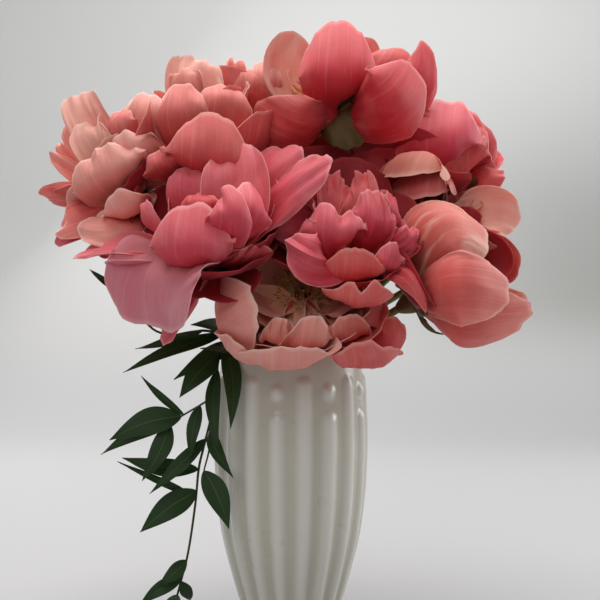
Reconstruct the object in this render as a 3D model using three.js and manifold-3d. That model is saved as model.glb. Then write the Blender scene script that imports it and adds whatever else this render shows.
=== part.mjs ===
// A bouquet of coral peonies and trailing ruscus in a tall fluted vase.
// Millimetres, +Z up. The origin is the middle of the vase's flat foot; the bouquet's front is towards -Y.
import * as THREE from 'three';
import { mergeVertices } from 'three/addons/utils/BufferGeometryUtils.js';
import Module from 'manifold-3d';

const wasm = await Module();
wasm.setup();

// ---- Driving dimensions ----

const clearance = 0.3;            // between any two pieces that touch

const vase = {
  height: 253,
  wall: 4,
  floor: 9,
  flutes: 18,                     // rounded ribs around the body
  fluteDepth: 1.6,                // from the crest of a rib to the valley beside it
  fluteFoot: 14,                  // the ribs run from here
  fluteTop: 226,                  // up to here, under a plain band
  innerLevels: [172, 84, 30],     // the smooth inside follows the outline at these heights
  floorCorner: 3,                 // the inside narrows by this much to its floor
  outline: [[34, 0], [38, 12], [42, 28], [50, 56], [57, 84], [62, 118], [64, 150], [64.5, 172],
    [63.5, 205], [62, 232], [60, 253]],
};

const flowerStem = {
  radius: 3,
  footRing: 24,                   // the feet stand on this ring
  twist: 50,                      // and the bundle turns this many degrees on its way up
  mouthRing: 42,                  // ring and depth where the stems near the mouth
  mouthDepth: 12,
  rimRing: 45,                    // ring and rise where they clear the rim
  rimRise: 11,
  neck: 26,                       // straight stretch under the flower
  footStub: 6,                    // cut off level with the vase's floor
  sides: 6,
  steps: 8,
};
const calyx = { length: 16, top: 9, shoulder: 10.5, shoulderAt: 0.3, waist: 7.5, waistAt: 0.62, neck: 3.6 };
const petalBlade = {
  thickness: 1.4,
  footWidth: 0.15,                // share of the full width at the foot
  fullWidthAt: 0.7,               // share of the length where it is widest
  tipDrop: 0.36,                  // how far the corners are rounded off below the tip
  tipPower: 2.2,
  inset: 4,                       // it starts this far inside the edge of its ring
  columns: 3,
};
const outerRing = { radius: 12, height: 2.4, rows: 3 };  // where the guard petals meet the receptacle
const innerRing = { radius: 10, height: 2.4, rows: 2 };
const stamenTuft = {
  foot: 4.5,
  head: 10,
  height: 17,
  outline: [[0.8, 0.55], [1, 0.8], [0.6, 1], [0, 0.9]],   // shares of the head's radius and the height
};
const flowerHeart = 34;           // the middle of an open flower, above its receptacle
const roundSides = 10;
const skyward = [0, 0.3, 1];      // a petal turned by 0 degrees is on this side of its flower
const leaf = { thickness: 0.9, arch: 3, endWidth: 0.08, skew: 0.8, bluntness: 0.9, faces: [0, -1, 0.4] };
const sprayStem = { radius: 1.4, sides: 5, steps: 18, branchRadius: 1, branchSteps: 5 };
const leavesFrom = 0.42;          // a main stem is bare up to here, inside the vase

const colours = {
  glaze: 0xe6e3da,
  stem: 0x6f7f45,
  calyx: 0x6b7040,
  stamens: 0xe0a83a,
  foliage: 0x1f3a1f,
  coral: 0xd9646a,
  deepPink: 0xcf4a60,
  salmon: 0xe68a7a,
  peach: 0xeb9a86,
};

// A petal is set by its turn around the flower's axis (0 is the side nearest the sky, positive is
// clockwise as seen from in front of the flower), its lean away from that axis, its size, and how far
// it bows along its length and cups across its width, all angles in degrees.
const petal = (turn, lean, length, width, bow = 40, cup = 40) => ({ turn, lean, length, width, bow, cup });

const blooms = [
  {
    name: 'top_bloom', base: [41, 15, 457], faces: [-0.2, -0.05, 0.97], mouthTurn: 55,
    colour: colours.deepPink,
    outer: [petal(115, 20, 82, 90, 30), petal(90, 75, 86, 100, 80, 50), petal(-157, 78, 90, 88, 60, 45),
      petal(-63, 31, 104, 70, 20, 30), petal(46, 62, 108, 70, 60, 45), petal(-12, 50, 108, 80, 30)],
    inner: [petal(20, 26, 66, 50), petal(-110, 26, 55, 40, 20), petal(150, 20, 50, 44)],
  },
  {
    name: 'upper_left_bloom', base: [-76, -10, 400], faces: [-0.15, -0.15, 0.97], mouthTurn: 158,
    colour: colours.salmon,
    outer: [petal(145, 50, 80, 112, 60, 55), petal(-175, 30, 84, 80), petal(-12, 24, 118, 76, 10, 20),
      petal(-120, 40, 80, 70, 50, 35), petal(30, 50, 100, 80, 30, 35), petal(-45, 45, 95, 70, 30, 35)],
    inner: [petal(96, 24, 80, 70), petal(-70, 20, 90, 50, 20, 30), petal(160, 16, 70, 60)],
  },
  {
    name: 'far_left_bloom', base: [-130, -15, 379], faces: [-0.81, -0.1, 0.58], mouthTurn: 190,
    colour: colours.salmon,
    outer: [petal(-9, 32, 110, 62, 10, 20), petal(105, 48, 76, 95, 50), petal(-131, 35, 94, 42, -10, 30),
      petal(-157, 56, 78, 58, 10, 30), petal(159, 75, 66, 62, 30, 30), petal(-70, 45, 98, 76, 20, 30),
      petal(50, 50, 80, 66, 30, 30)],
    inner: [petal(40, 22, 80, 46, 20, 20), petal(-45, 22, 98, 32, 10, 30),
      petal(-110, 14, 86, 34, 20, 30)],
  },
  {
    name: 'centre_left_bloom', base: [-60, -70, 321], faces: [-0.12, -0.4, 0.9], mouthTurn: 232,
    colour: colours.deepPink,
    outer: [petal(14, 36, 102, 80, 20, 38), petal(172, 42, 88, 104, 80, 55), petal(-125, 40, 84, 48, 30, 30),
      petal(-108, 80, 110, 44, -20, 20), petal(-155, 98, 104, 104, -20, 35), petal(80, 70, 60, 66, 20, 35)],
    inner: [petal(75, 24, 66, 50, 35, 35), petal(-150, 18, 66, 44, 50),
      petal(-36, 24, 80, 46, 20, 25)],
  },
  {
    name: 'centre_bloom', base: [46, -45, 324], faces: [0, -0.6, 0.8], mouthTurn: -50,
    colour: colours.coral,
    outer: [petal(175, 62, 104, 86, 90, 50), petal(-150, 50, 96, 72, 70), petal(140, 52, 86, 70, 60),
      petal(-110, 48, 86, 60), petal(-25, 36, 96, 60, 20, 30), petal(10, 56, 90, 75, 30),
      petal(58, 56, 80, 70)],
    inner: [petal(-165, 24, 84, 66, 50, 45), petal(110, 22, 78, 60, 50, 45), petal(-60, 22, 70, 54)],
  },
  {
    name: 'front_bloom', base: [10, -50, 294], faces: [0, -0.78, 0.62], mouthTurn: 280,
    colour: colours.peach,
    outer: [petal(-124, 66, 88, 84, 60, 45), petal(-162, 66, 106, 84, 70, 45),
      petal(165, 66, 108, 84, 70, 45), petal(137, 78, 104, 78, 50), petal(-90, 40, 66, 66, 50),
      petal(95, 40, 66, 66, 50)],
    inner: [petal(-179, 52, 90, 50, 20, 30), petal(145, 50, 90, 50, 20, 30),
      petal(-140, 48, 80, 50, 20, 30)],
  },
  {
    name: 'right_upper_bloom', base: [148, 45, 394], faces: [0.35, 0.1, 0.93], mouthTurn: 30,
    colour: colours.deepPink,
    outer: [petal(-97, 52, 94, 104, 60, 55), petal(-165, 60, 58, 50, 30, 30), petal(-18, 50, 72, 80, 50),
      petal(46, 30, 84, 90, 50, 45), petal(110, 45, 70, 70, 50)],
    inner: [petal(-43, 30, 74, 60), petal(-130, 32, 74, 64, 50), petal(60, 20, 60, 50)],
  },
  {
    name: 'right_lower_bloom', base: [103, -45, 292], faces: [0.85, -0.15, 0.5], mouthTurn: -22,
    colour: colours.salmon,
    outer: [petal(-82, 28, 86, 90, 100, 50), petal(-137, 40, 90, 88, 60, 50), petal(161, 44, 96, 80, 70, 45),
      petal(85, 32, 106, 84, 70, 45), petal(20, 45, 80, 80, 60, 45)],
    inner: [petal(109, 36, 98, 60, 50, 45), petal(60, 24, 90, 56, 60, 45), petal(-110, 20, 76, 54, 60, 45)],
  },
  {
    name: 'right_middle_bloom', base: [132, 5, 349], faces: [0.35, -0.25, 0.9], mouthTurn: 5,
    colour: colours.peach,
    outer: [petal(-91, 52, 92, 76, 90, 45), petal(150, 48, 76, 58, 10, 25), petal(42, 56, 90, 78, 50),
      petal(-20, 60, 66, 66, 50), petal(100, 50, 70, 66, 40)],
    inner: [petal(-119, 42, 76, 60, 80), petal(0, 25, 60, 50), petal(120, 25, 60, 50)],
  },
  {
    name: 'back_upper_bloom', base: [-28, 60, 442], faces: [-0.15, 0.4, 0.9], mouthTurn: 110,
    colour: colours.coral,
    outer: [petal(40, 42, 74, 50, 10, 30), petal(-6, 38, 70, 64, 20, 30), petal(-145, 35, 92, 80, 30),
      petal(-87, 50, 88, 80, 30), petal(-125, 62, 96, 90, 30), petal(120, 50, 76, 76, 30)],
    inner: [petal(68, 36, 76, 34, 10, 30), petal(-40, 22, 64, 50), petal(180, 22, 70, 56)],
  },
  {
    name: 'back_lower_bloom', base: [5, 85, 330], faces: [0.05, 0.9, 0.45], mouthTurn: 84,
    colour: colours.coral,
    outer: [petal(0, 55, 86, 80, 50, 45), petal(72, 60, 86, 80, 50, 45), petal(144, 62, 86, 80, 50, 45),
      petal(-144, 62, 86, 80, 50, 45), petal(-72, 58, 86, 80, 50, 45)],
    inner: [petal(30, 22, 60, 54), petal(150, 22, 60, 54), petal(-90, 22, 60, 54)],
  },
];

// Two sprays of ruscus. Every branch starts on the main stem, and every leaf starts a given fraction of
// the way along its branch and ends at its tip.
const sprays = [
  {
    name: 'trailing_spray', mouthTurn: 207,
    branches: [
      [[-34, -17, 240], [-44, -22, 254], [-54, -28, 258], [-61, -33, 247], [-62, -35, 232], [-64, -35, 211],
        [-68, -35, 189], [-74, -33, 166], [-78, -32, 148], [-81, -31, 118], [-87, -30, 78], [-94, -30, 50],
        [-101, -30, 24]],
      [[-64, -35, 211], [-75, -35, 204], [-95, -34, 192], [-106, -34, 184]],
      [[-68, -35, 189], [-68, -42, 168], [-72, -48, 150]],
    ],
    leaves: [
      [0, 0.17, [-98, -40, 225], 15], [0, 0.25, [-91, -60, 212], 20], [1, 0.62, [-128, -24, 227], 6],
      [1, 0.66, [-151, -45, 175], 23], [1, 0.9, [-123, -52, 142], 17], [1, 1, [-163, -20, 159], 11],
      [0, 0.58, [-144, -25, 157], 15], [1, 0.3, [-83, -50, 160], 11], [0, 0.49, [-116, -56, 132], 12],
      [0, 0.66, [-149, -20, 153], 6], [0, 0.64, [-125, -50, 99], 21], [2, 1, [-50, -64, 105], 19],
      [2, 0.15, [-46, -72, 148], 11], [0, 0.21, [-48, -76, 188], 15], [0, 0.29, [-58, -70, 172], 12],
      [0, 0.84, [-111, -42, 52], 12], [0, 0.89, [-127, -40, 36], 12], [0, 0.94, [-105, -48, 22], 12],
      [0, 0.9, [-87, -12, 32], 10], [0, 1, [-118, -24, 5], 11],
    ],
  },
  {
    name: 'short_spray', mouthTurn: 175,
    branches: [
      [[-38, 3, 238], [-48, 2, 255], [-60, -8, 262], [-75, -30, 266], [-90, -42, 263], [-112, -46, 266],
        [-128, -45, 283], [-140, -41, 299]],
    ],
    leaves: [
      [0, 0.3, [-72, -78, 253], 10], [0, 0.5, [-136, -66, 233], 12], [0, 0.62, [-133, -22, 250], 8],
      [0, 0.36, [-80, -74, 272], 17], [0, 1, [-169, -40, 318], 6], [0, 0.92, [-164, -32, 312], 7],
    ],
  },
];

// ---- Solids ----

const toRadians = THREE.MathUtils.degToRad;

function toSolid(geometry) {
  const bare = geometry.clone();
  bare.deleteAttribute('normal');
  bare.deleteAttribute('uv');
  const merged = mergeVertices(bare, 1e-4);
  return new wasm.Manifold(new wasm.Mesh({
    numProp: 3,
    vertProperties: new Float32Array(merged.attributes.position.array),
    triVerts: new Uint32Array(merged.index.array),
  }));
}

function toGeometry(solid) {
  const mesh = solid.getMesh();
  const geometry = new THREE.BufferGeometry();
  geometry.setAttribute('position', new THREE.BufferAttribute(new Float32Array(mesh.vertProperties), 3));
  geometry.setIndex(new THREE.BufferAttribute(new Uint32Array(mesh.triVerts), 1));
  geometry.computeVertexNormals();
  return geometry;
}

const larger = (one, other) => (other.volume() > one.volume() ? other : one);
const largestPiece = (solid) => solid.decompose().reduce(larger);
const subtractAll = (solid, others) => others.reduce((rest, next) => rest.subtract(next), solid);

// A closed skin around a curved patch: front(i, j) and back(i, j) give its two faces on a grid.
function shellGeometry(columns, rows, front, back) {
  const positions = [];
  const index = [];
  for (const side of [front, back]) {
    for (let i = 0; i <= columns; i += 1) {
      for (let j = 0; j <= rows; j += 1) {
        positions.push(...side(i / columns, j / rows).toArray());
      }
    }
  }
  const at = (side, i, j) => (side * (columns + 1) + i) * (rows + 1) + j;
  const quad = (a, b, c, d) => index.push(a, b, c, a, c, d);
  for (let i = 0; i < columns; i += 1) {
    for (let j = 0; j < rows; j += 1) {
      quad(at(0, i, j), at(0, i + 1, j), at(0, i + 1, j + 1), at(0, i, j + 1));
      quad(at(1, i, j), at(1, i, j + 1), at(1, i + 1, j + 1), at(1, i + 1, j));
    }
    quad(at(0, i, 0), at(1, i, 0), at(1, i + 1, 0), at(0, i + 1, 0));
    quad(at(0, i + 1, rows), at(1, i + 1, rows), at(1, i, rows), at(0, i, rows));
  }
  for (let j = 0; j < rows; j += 1) {
    quad(at(0, 0, j + 1), at(1, 0, j + 1), at(1, 0, j), at(0, 0, j));
    quad(at(0, columns, j), at(1, columns, j), at(1, columns, j + 1), at(0, columns, j + 1));
  }
  const geometry = new THREE.BufferGeometry();
  geometry.setAttribute('position', new THREE.Float32BufferAttribute(positions, 3));
  geometry.setIndex(index);
  return geometry;
}

// A tube along a smooth path.
function tubeGeometry(points, radius, sides, steps) {
  const section = new THREE.Shape();
  for (let k = 0; k < sides; k += 1) {
    const angle = (2 * Math.PI * k) / sides;
    section[k ? 'lineTo' : 'moveTo'](radius * Math.cos(angle), radius * Math.sin(angle));
  }
  section.closePath();
  const extrudePath = new THREE.CatmullRomCurve3(points);
  return new THREE.ExtrudeGeometry(section, { steps, extrudePath, bevelEnabled: false });
}

function latheSolid(profile, segments) {
  const points = profile.map(([radius, height]) => new THREE.Vector2(radius, height));
  const geometry = new THREE.LatheGeometry(points, segments);
  geometry.rotateX(Math.PI / 2);
  return toSolid(geometry);
}

// ---- Vase ----

function vaseRadius(height) {
  const { outline } = vase;
  const above = Math.max(1, outline.findIndex(([, level]) => level >= height));
  const [r0, z0] = outline[above - 1];
  const [r1, z1] = outline[above];
  return THREE.MathUtils.mapLinear(height, z0, z1, r0, r1);
}

// A hollow shell with a thick floor. The ribs stand proud of the outline on every other column.
function vaseSolid(grow) {
  const { height, wall, floor, flutes, fluteDepth, fluteFoot, fluteTop, outline } = vase;
  const columns = flutes * 2;
  const rimLevel = height + grow;
  const floorLevel = floor + grow;
  const outer = outline.map(([r, z]) => [r + grow, z === height ? rimLevel : z]);
  const inner = vase.innerLevels.map((z) => [vaseRadius(z) - wall - grow, z]);
  const innerRim = [vaseRadius(height) - wall - grow, rimLevel];
  const innerFoot = [vaseRadius(floor) - wall - grow - vase.floorCorner, floorLevel];
  const profile = [[0, 0], ...outer, innerRim, ...inner, innerFoot, [0, floorLevel]];
  const points = profile.map(([r, z]) => new THREE.Vector2(r, z));
  const geometry = new THREE.LatheGeometry(points, columns);
  const { position } = geometry.attributes;
  for (let column = 0; column <= columns; column += 2) {
    for (let row = 1; row <= outer.length; row += 1) {
      const level = profile[row][1];
      if (level < fluteFoot || level > fluteTop) continue;
      const k = column * profile.length + row;
      const scale = 1 + fluteDepth / profile[row][0];
      position.setXYZ(k, position.getX(k) * scale, position.getY(k), position.getZ(k) * scale);
    }
  }
  geometry.rotateX(Math.PI / 2);
  return toSolid(geometry);
}

// ---- Flowers ----

function bloomMatrix({ base, faces }) {
  const axis = new THREE.Vector3(...faces).normalize();
  const up = new THREE.Vector3(...skyward);
  up.addScaledVector(axis, -up.dot(axis)).normalize();
  const right = new THREE.Vector3().crossVectors(up, axis);
  return new THREE.Matrix4().makeBasis(right, up, axis).setPosition(...base);
}

// The petal's midrib is an arc, each cross-section is an arc, and its tip is rounded.
// A straight midrib is an arc of one degree.
function petalSolid({ turn, lean, length, width, bow, cup }, foot, rows, grow) {
  const outward = new THREE.Vector3(Math.sin(toRadians(turn)), Math.cos(toRadians(turn)), 0);
  const axis = new THREE.Vector3(0, 0, 1);
  const across = new THREE.Vector3().crossVectors(axis, outward);
  const bend = toRadians(bow || 1);
  const { thickness, footWidth, fullWidthAt, tipDrop, tipPower, columns } = petalBlade;
  const curvature = (2 * Math.sin(bend / 2)) / (length + grow);
  const first = toRadians(lean) + bend / 2;
  const face = (offset) => (i, j) => {
    const u = 2 * i - 1;
    const v = j * (1 - tipDrop * Math.abs(u) ** tipPower);
    const angle = first - bend * v;
    const rise = (Math.sin(first) - Math.sin(angle)) / curvature;
    const out = (Math.cos(angle) - Math.cos(first)) / curvature;
    const widening = Math.sin((Math.min(v / fullWidthAt, 1) * Math.PI) / 2);
    const spread = THREE.MathUtils.lerp(footWidth, 1, widening);
    const halfWidth = (width / 2 + grow) * spread;
    const curl = toRadians(cup) * spread;
    const radius = halfWidth / curl;
    const inward = new THREE.Vector3()
      .addScaledVector(axis, Math.sin(angle))
      .addScaledVector(outward, -Math.cos(angle));
    return new THREE.Vector3()
      .addScaledVector(axis, foot.height + rise)
      .addScaledVector(outward, foot.radius + out)
      .addScaledVector(across, (radius - offset) * Math.sin(curl * u))
      .addScaledVector(inward, radius - (radius - offset) * Math.cos(curl * u));
  };
  const half = thickness / 2 + grow;
  return toSolid(shellGeometry(columns, rows, face(-half), face(half)));
}

function discSolid(radius, low, high) {
  return latheSolid([[0, low], [radius, low], [radius, high], [0, high]], roundSides);
}

// A whorl of petals, joined where they meet the receptacle.
function whorlSolid(petals, ring, level, matrix, grow) {
  const disc = discSolid(ring.radius + grow, level - grow, level + ring.height + grow);
  const foot = { radius: ring.radius - petalBlade.inset, height: level + ring.height / 2 };
  const pieces = petals.map((one) => petalSolid(one, foot, ring.rows, grow));
  return pieces.reduce((whorl, one) => whorl.add(one), disc).transform(matrix.elements);
}

function calyxSolid(matrix, grow) {
  const { length, top, shoulder, shoulderAt, waist, waistAt, neck } = calyx;
  const lowEnd = -length - grow;
  const highEnd = -clearance + grow;
  const profile = [[0, lowEnd], [neck + grow, lowEnd], [waist + grow, -length * waistAt],
    [shoulder + grow, -length * shoulderAt], [top + grow, highEnd], [0, highEnd]];
  return latheSolid(profile, roundSides).transform(matrix.elements);
}

function stamenSolid(matrix) {
  const { foot, head, height, outline } = stamenTuft;
  const low = outerRing.height + innerRing.height + 2 * clearance;
  const profile = [[0, low], [foot, low], ...outline.map(([r, z]) => [head * r, low + height * z])];
  return latheSolid(profile, roundSides).transform(matrix.elements);
}

const onRing = (radius, turn, height) => new THREE.Vector3(
  radius * Math.cos(toRadians(turn)),
  radius * Math.sin(toRadians(turn)),
  height,
);

// Stems stand on the vase's floor, cross the waist of the bundle and lean out over the mouth.
function stemPoints({ mouthTurn }, matrix) {
  const { footRing, twist, mouthRing, mouthDepth, rimRing, rimRise, neck } = flowerStem;
  return [
    onRing(footRing, mouthTurn + twist, vase.floor + clearance),
    onRing(mouthRing, mouthTurn, vase.height - mouthDepth),
    onRing(rimRing, mouthTurn, vase.height + rimRise),
    new THREE.Vector3(0, 0, -calyx.length - neck).applyMatrix4(matrix),
    new THREE.Vector3(0, 0, -calyx.length - clearance).applyMatrix4(matrix),
  ];
}

// The point that lies a distance past the end of a line.
const beyond = (start, end, distance) => end.clone().lerp(start, -distance / start.distanceTo(end));

// A stem is straight in the vase and curved above it, and its foot is cut flat on the vase's floor.
function stemSolid(points, grow) {
  const { radius, footStub, sides, steps } = flowerStem;
  const [foot, mouth, ...above] = points;
  const path = [beyond(mouth, foot, footStub), foot.clone().lerp(mouth, 0.5), mouth, ...above];
  if (grow) path.push(beyond(path.at(-2), path.at(-1), grow));
  const tube = toSolid(tubeGeometry(path, radius + grow, sides, steps));
  return tube.trimByPlane([0, 0, 1], vase.floor + clearance - grow);
}

// ---- Foliage ----

function leafSolid(base, tip, width) {
  const { thickness, arch, endWidth, skew, bluntness } = leaf;
  const along = new THREE.Vector3().subVectors(tip, base);
  const face = new THREE.Vector3(...leaf.faces);
  face.addScaledVector(along, -face.dot(along) / along.lengthSq()).normalize();
  const across = new THREE.Vector3().crossVectors(face, along).normalize();
  const side = (offset) => (i, j) => {
    const swell = Math.max(0, Math.sin(Math.PI * j ** skew)) ** bluntness;
    return base.clone()
      .addScaledVector(along, j)
      .addScaledVector(across, (0.5 - i) * width * THREE.MathUtils.lerp(endWidth, 1, swell))
      .addScaledVector(face, offset + arch * Math.sin(Math.PI * j));
  };
  return toSolid(shellGeometry(2, 3, side(thickness / 2), side(-thickness / 2)));
}

function spraySolid({ mouthTurn, branches, leaves }) {
  const { radius, sides, steps, branchRadius, branchSteps } = sprayStem;
  const foot = onRing(flowerStem.footRing, mouthTurn + flowerStem.twist, vase.floor + clearance);
  const [main, ...others] = branches.map((points) => points.map((point) => new THREE.Vector3(...point)));
  const curves = [[foot, ...main], ...others];
  const tubes = curves.map((points, k) => {
    const size = k === 0 ? [radius, sides, steps] : [branchRadius, sides, branchSteps];
    return toSolid(tubeGeometry(points, ...size));
  });
  const paths = curves.map((points) => new THREE.CatmullRomCurve3(points));
  const blades = leaves.map(([branch, at, tip, width]) => {
    const start = branch === 0 ? THREE.MathUtils.lerp(leavesFrom, 1, at) : at;
    return leafSolid(paths[branch].getPointAt(start), new THREE.Vector3(...tip), width);
  });
  return [...tubes, ...blades].reduce((spray, next) => spray.add(next));
}

// ---- Assembly ----

const group = new THREE.Group();

function addPiece(name, solid, color, roughness, parent = group) {
  const geometry = toGeometry(solid);
  if (parent !== group) geometry.applyMatrix4(parent.matrix.clone().invert());
  const mesh = new THREE.Mesh(geometry, new THREE.MeshStandardMaterial({ color, roughness, metalness: 0 }));
  mesh.name = name;
  parent.add(mesh);
}

const flowers = blooms.map((bloom) => {
  const matrix = bloomMatrix(bloom);
  const points = stemPoints(bloom, matrix);
  const heart = new THREE.Vector3(0, 0, flowerHeart).applyMatrix4(matrix);
  return { ...bloom, matrix, points, heart };
});

const vaseKeepOut = vaseSolid(clearance);
const stemKeepOuts = flowers.map(({ points }) => stemSolid(points, clearance));
const calyxKeepOuts = flowers.map(({ matrix }) => calyxSolid(matrix, clearance));

// A spray with the clearance added on every side.
function grownSpray(solid) {
  const shifts = [-clearance, clearance].flatMap((step) => [[step, 0, 0], [0, step, 0], [0, 0, step]]);
  return shifts.reduce((grown, shift) => grown.add(solid.translate(shift)), solid);
}

// Leaves and petals bend aside where they meet: the later piece gives way around the earlier ones.
const foliage = [];
const foliageKeepOuts = [];
for (const spray of sprays) {
  const inTheWay = [vaseKeepOut, ...stemKeepOuts, ...foliageKeepOuts];
  const solid = largestPiece(subtractAll(spraySolid(spray), inTheWay));
  foliage.push(solid);
  foliageKeepOuts.push(grownSpray(solid));
}

const outerLevel = 0;
const innerLevel = outerRing.height + clearance;
const firmKeepOuts = [vaseKeepOut, ...stemKeepOuts, ...calyxKeepOuts, ...foliageKeepOuts];
for (const flower of flowers) {
  const { matrix, outer, inner } = flower;
  const guard = whorlSolid(outer, outerRing, outerLevel, matrix, 0);
  const guardKeepOut = whorlSolid(outer, outerRing, outerLevel, matrix, clearance);
  const cup = whorlSolid(inner, innerRing, innerLevel, matrix, 0);
  const cupKeepOut = whorlSolid(inner, innerRing, innerLevel, matrix, clearance);
  flower.guard = subtractAll(guard, firmKeepOuts);
  flower.cup = subtractAll(cup, [guardKeepOut, ...firmKeepOuts]);
  flower.stamens = subtractAll(stamenSolid(matrix), [guardKeepOut, cupKeepOut]);
}

// Where two flowers press together, each stops just short of the plane midway between their hearts.
const softParts = ['guard', 'cup', 'stamens'];
const meet = (one, other) => softParts.some((a) => softParts.some(
  (b) => one[a].intersect(other[b]).volume() > 0,
));
flowers.forEach((one, index) => {
  for (const other of flowers.slice(index + 1)) {
    if (!meet(one, other)) continue;
    const normal = new THREE.Vector3().subVectors(other.heart, one.heart).normalize();
    const middle = new THREE.Vector3().addVectors(one.heart, other.heart).multiplyScalar(0.5).dot(normal);
    for (const part of softParts) {
      one[part] = one[part].trimByPlane(normal.clone().negate().toArray(), clearance / 2 - middle);
      other[part] = other[part].trimByPlane(normal.toArray(), middle + clearance / 2);
    }
  }
});

addPiece('vase', vaseSolid(0), colours.glaze, 0.3);
sprays.forEach(({ name }, k) => addPiece(name, foliage[k], colours.foliage, 0.45));
for (const { name, matrix, points, colour, guard, cup, stamens } of flowers) {
  addPiece(`${name}_stem`, stemSolid(points, 0), colours.stem, 0.6);
  const head = new THREE.Group();
  matrix.decompose(head.position, head.quaternion, head.scale);
  head.updateMatrix();
  group.add(head);
  addPiece(`${name}_calyx`, calyxSolid(matrix, 0), colours.calyx, 0.6, head);
  addPiece(`${name}_outer_petals`, largestPiece(guard), colour, 0.55, head);
  addPiece(`${name}_inner_petals`, largestPiece(cup), colour, 0.55, head);
  addPiece(`${name}_stamens`, largestPiece(stamens), colours.stamens, 0.7, head);
}

export default group;
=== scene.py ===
import math
import random
import bmesh
import bpy
from mathutils import Matrix, Vector, noise


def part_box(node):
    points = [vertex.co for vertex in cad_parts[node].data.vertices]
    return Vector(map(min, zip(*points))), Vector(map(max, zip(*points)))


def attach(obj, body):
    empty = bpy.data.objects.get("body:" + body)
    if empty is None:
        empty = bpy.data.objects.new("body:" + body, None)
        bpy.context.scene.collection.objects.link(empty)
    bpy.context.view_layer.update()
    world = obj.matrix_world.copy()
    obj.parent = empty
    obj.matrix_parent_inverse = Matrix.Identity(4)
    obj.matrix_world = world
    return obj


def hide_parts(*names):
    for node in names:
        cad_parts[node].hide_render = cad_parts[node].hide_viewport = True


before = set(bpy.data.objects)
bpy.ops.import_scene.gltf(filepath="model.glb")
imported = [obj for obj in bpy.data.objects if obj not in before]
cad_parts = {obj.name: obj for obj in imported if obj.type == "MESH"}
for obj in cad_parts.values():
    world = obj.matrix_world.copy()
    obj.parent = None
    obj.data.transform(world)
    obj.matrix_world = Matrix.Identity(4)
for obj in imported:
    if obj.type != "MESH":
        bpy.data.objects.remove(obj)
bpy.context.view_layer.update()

bpy.ops.object.select_all(action="DESELECT")
bpy.context.scene.view_settings.view_transform = "Standard"

# The camera stands level in front of the bouquet. Places are in metres, the lens and film in millimetres.
cameraView = {"place": (0.008, -0.9, 0.292), "lens": 61.4, "film": 36, "farthest": 50}

# The pale sweep under and behind the bouquet, its shades with a painted shadow low on the wall, and the light
# that the air itself gives.
studio = {
    "floorWidth": 9.0,
    "frontEdge": -3.0,
    "wallAt": 1.75,
    "wallHeight": 4.2,
    "sweep": 0.55,             # radius of the bend from floor to wall
    "rows": 24,
    "floorShade": (0.42, 0.42, 0.425, 1),
    "wallShade": (0.74, 0.74, 0.73, 1),
    "wallFrom": (0.0, 0.45),   # the floor's shade turns into the wall's between these heights
    # painted shadow, low on the wall and mostly on the right
    "wallPaintedShadow": (0.36, 0.36, 0.345, 1),
    "shadowRise": (0.05, 0.3),   # the painted shadow comes in between these heights
    "shadowFade": (0.3, 1.0),    # and is gone between these
    "shadowAside": (-0.1, 0.8),  # it grows from left to right
    "shadowLeft": 0.15,          # what there is of it at the left
    "cloudScale": 1.3,
    "clouds": 0.06,
    "air": (0.95, 0.97, 1.0, 1),
    "airStrength": 0.30,
}
lamps = {  # place, what it looks at, width, height, watts, colour
    "ceilingLight": ((-0.1, 0.1, 1.7), (0, 0.0, 0.3), 1.4, 1.0, 19, (1.0, 0.98, 0.96)),
    "backLight": ((-0.9, 1.2, 1.1), (0, 0, 0.42), 1.0, 1.0, 14, (1.0, 0.98, 0.96)),
    "sideLight": ((1.5, 0.5, 0.8), (0.05, 0, 0.3), 0.8, 1.2, 12, (0.98, 0.99, 1.0)),
    "frontLight": ((-0.5, -1.8, 1.5), (0, 0, 0.40), 1.4, 1.2, 9, (1.0, 0.99, 0.97)),
    "wallLight": ((0.5, 0.9, 2.3), (0.4, 1.75, 0.9), 1.8, 0.8, 12, (1.0, 1.0, 1.0)),
}


def addCamera():
    bpy.ops.object.camera_add(location=cameraView["place"], rotation=(math.pi / 2, 0, 0))
    camera = bpy.context.object
    camera.data.lens = cameraView["lens"]
    camera.data.sensor_width = cameraView["film"]
    camera.data.clip_end = cameraView["farthest"]
    bpy.context.scene.camera = camera


def addLamps():
    for name, (place, target, width, height, watts, colour) in lamps.items():
        bpy.ops.object.light_add(type="AREA", location=place)
        lamp = bpy.context.object
        lamp.name = name
        lamp.rotation_euler = (Vector(target) - Vector(place)).to_track_quat("-Z", "Y").to_euler()
        lamp.data.shape = "RECTANGLE"
        lamp.data.size = width
        lamp.data.size_y = height
        lamp.data.energy = watts
        lamp.data.color = colour
    world = bpy.data.worlds.new("air")
    world.use_nodes = True
    background = world.node_tree.nodes["Background"]
    background.inputs["Color"].default_value = studio["air"]
    background.inputs["Strength"].default_value = studio["airStrength"]
    bpy.context.scene.world = world


class Wire:  # an output socket, so that shader maths reads as sums
    def __init__(self, paint, socket):
        self.paint = paint
        self.socket = socket

    def __add__(self, other):
        return self.paint.maths("ADD", self, other)

    __radd__ = __add__

    def __sub__(self, other):
        return self.paint.maths("SUBTRACT", self, other)

    def __rsub__(self, other):
        return self.paint.maths("SUBTRACT", other, self)

    def __mul__(self, other):
        return self.paint.maths("MULTIPLY", self, other)

    __rmul__ = __mul__

    def __pow__(self, power):
        return self.paint.maths("POWER", self, power)

    def __abs__(self):
        return self.paint.maths("ABSOLUTE", self, 0)


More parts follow.
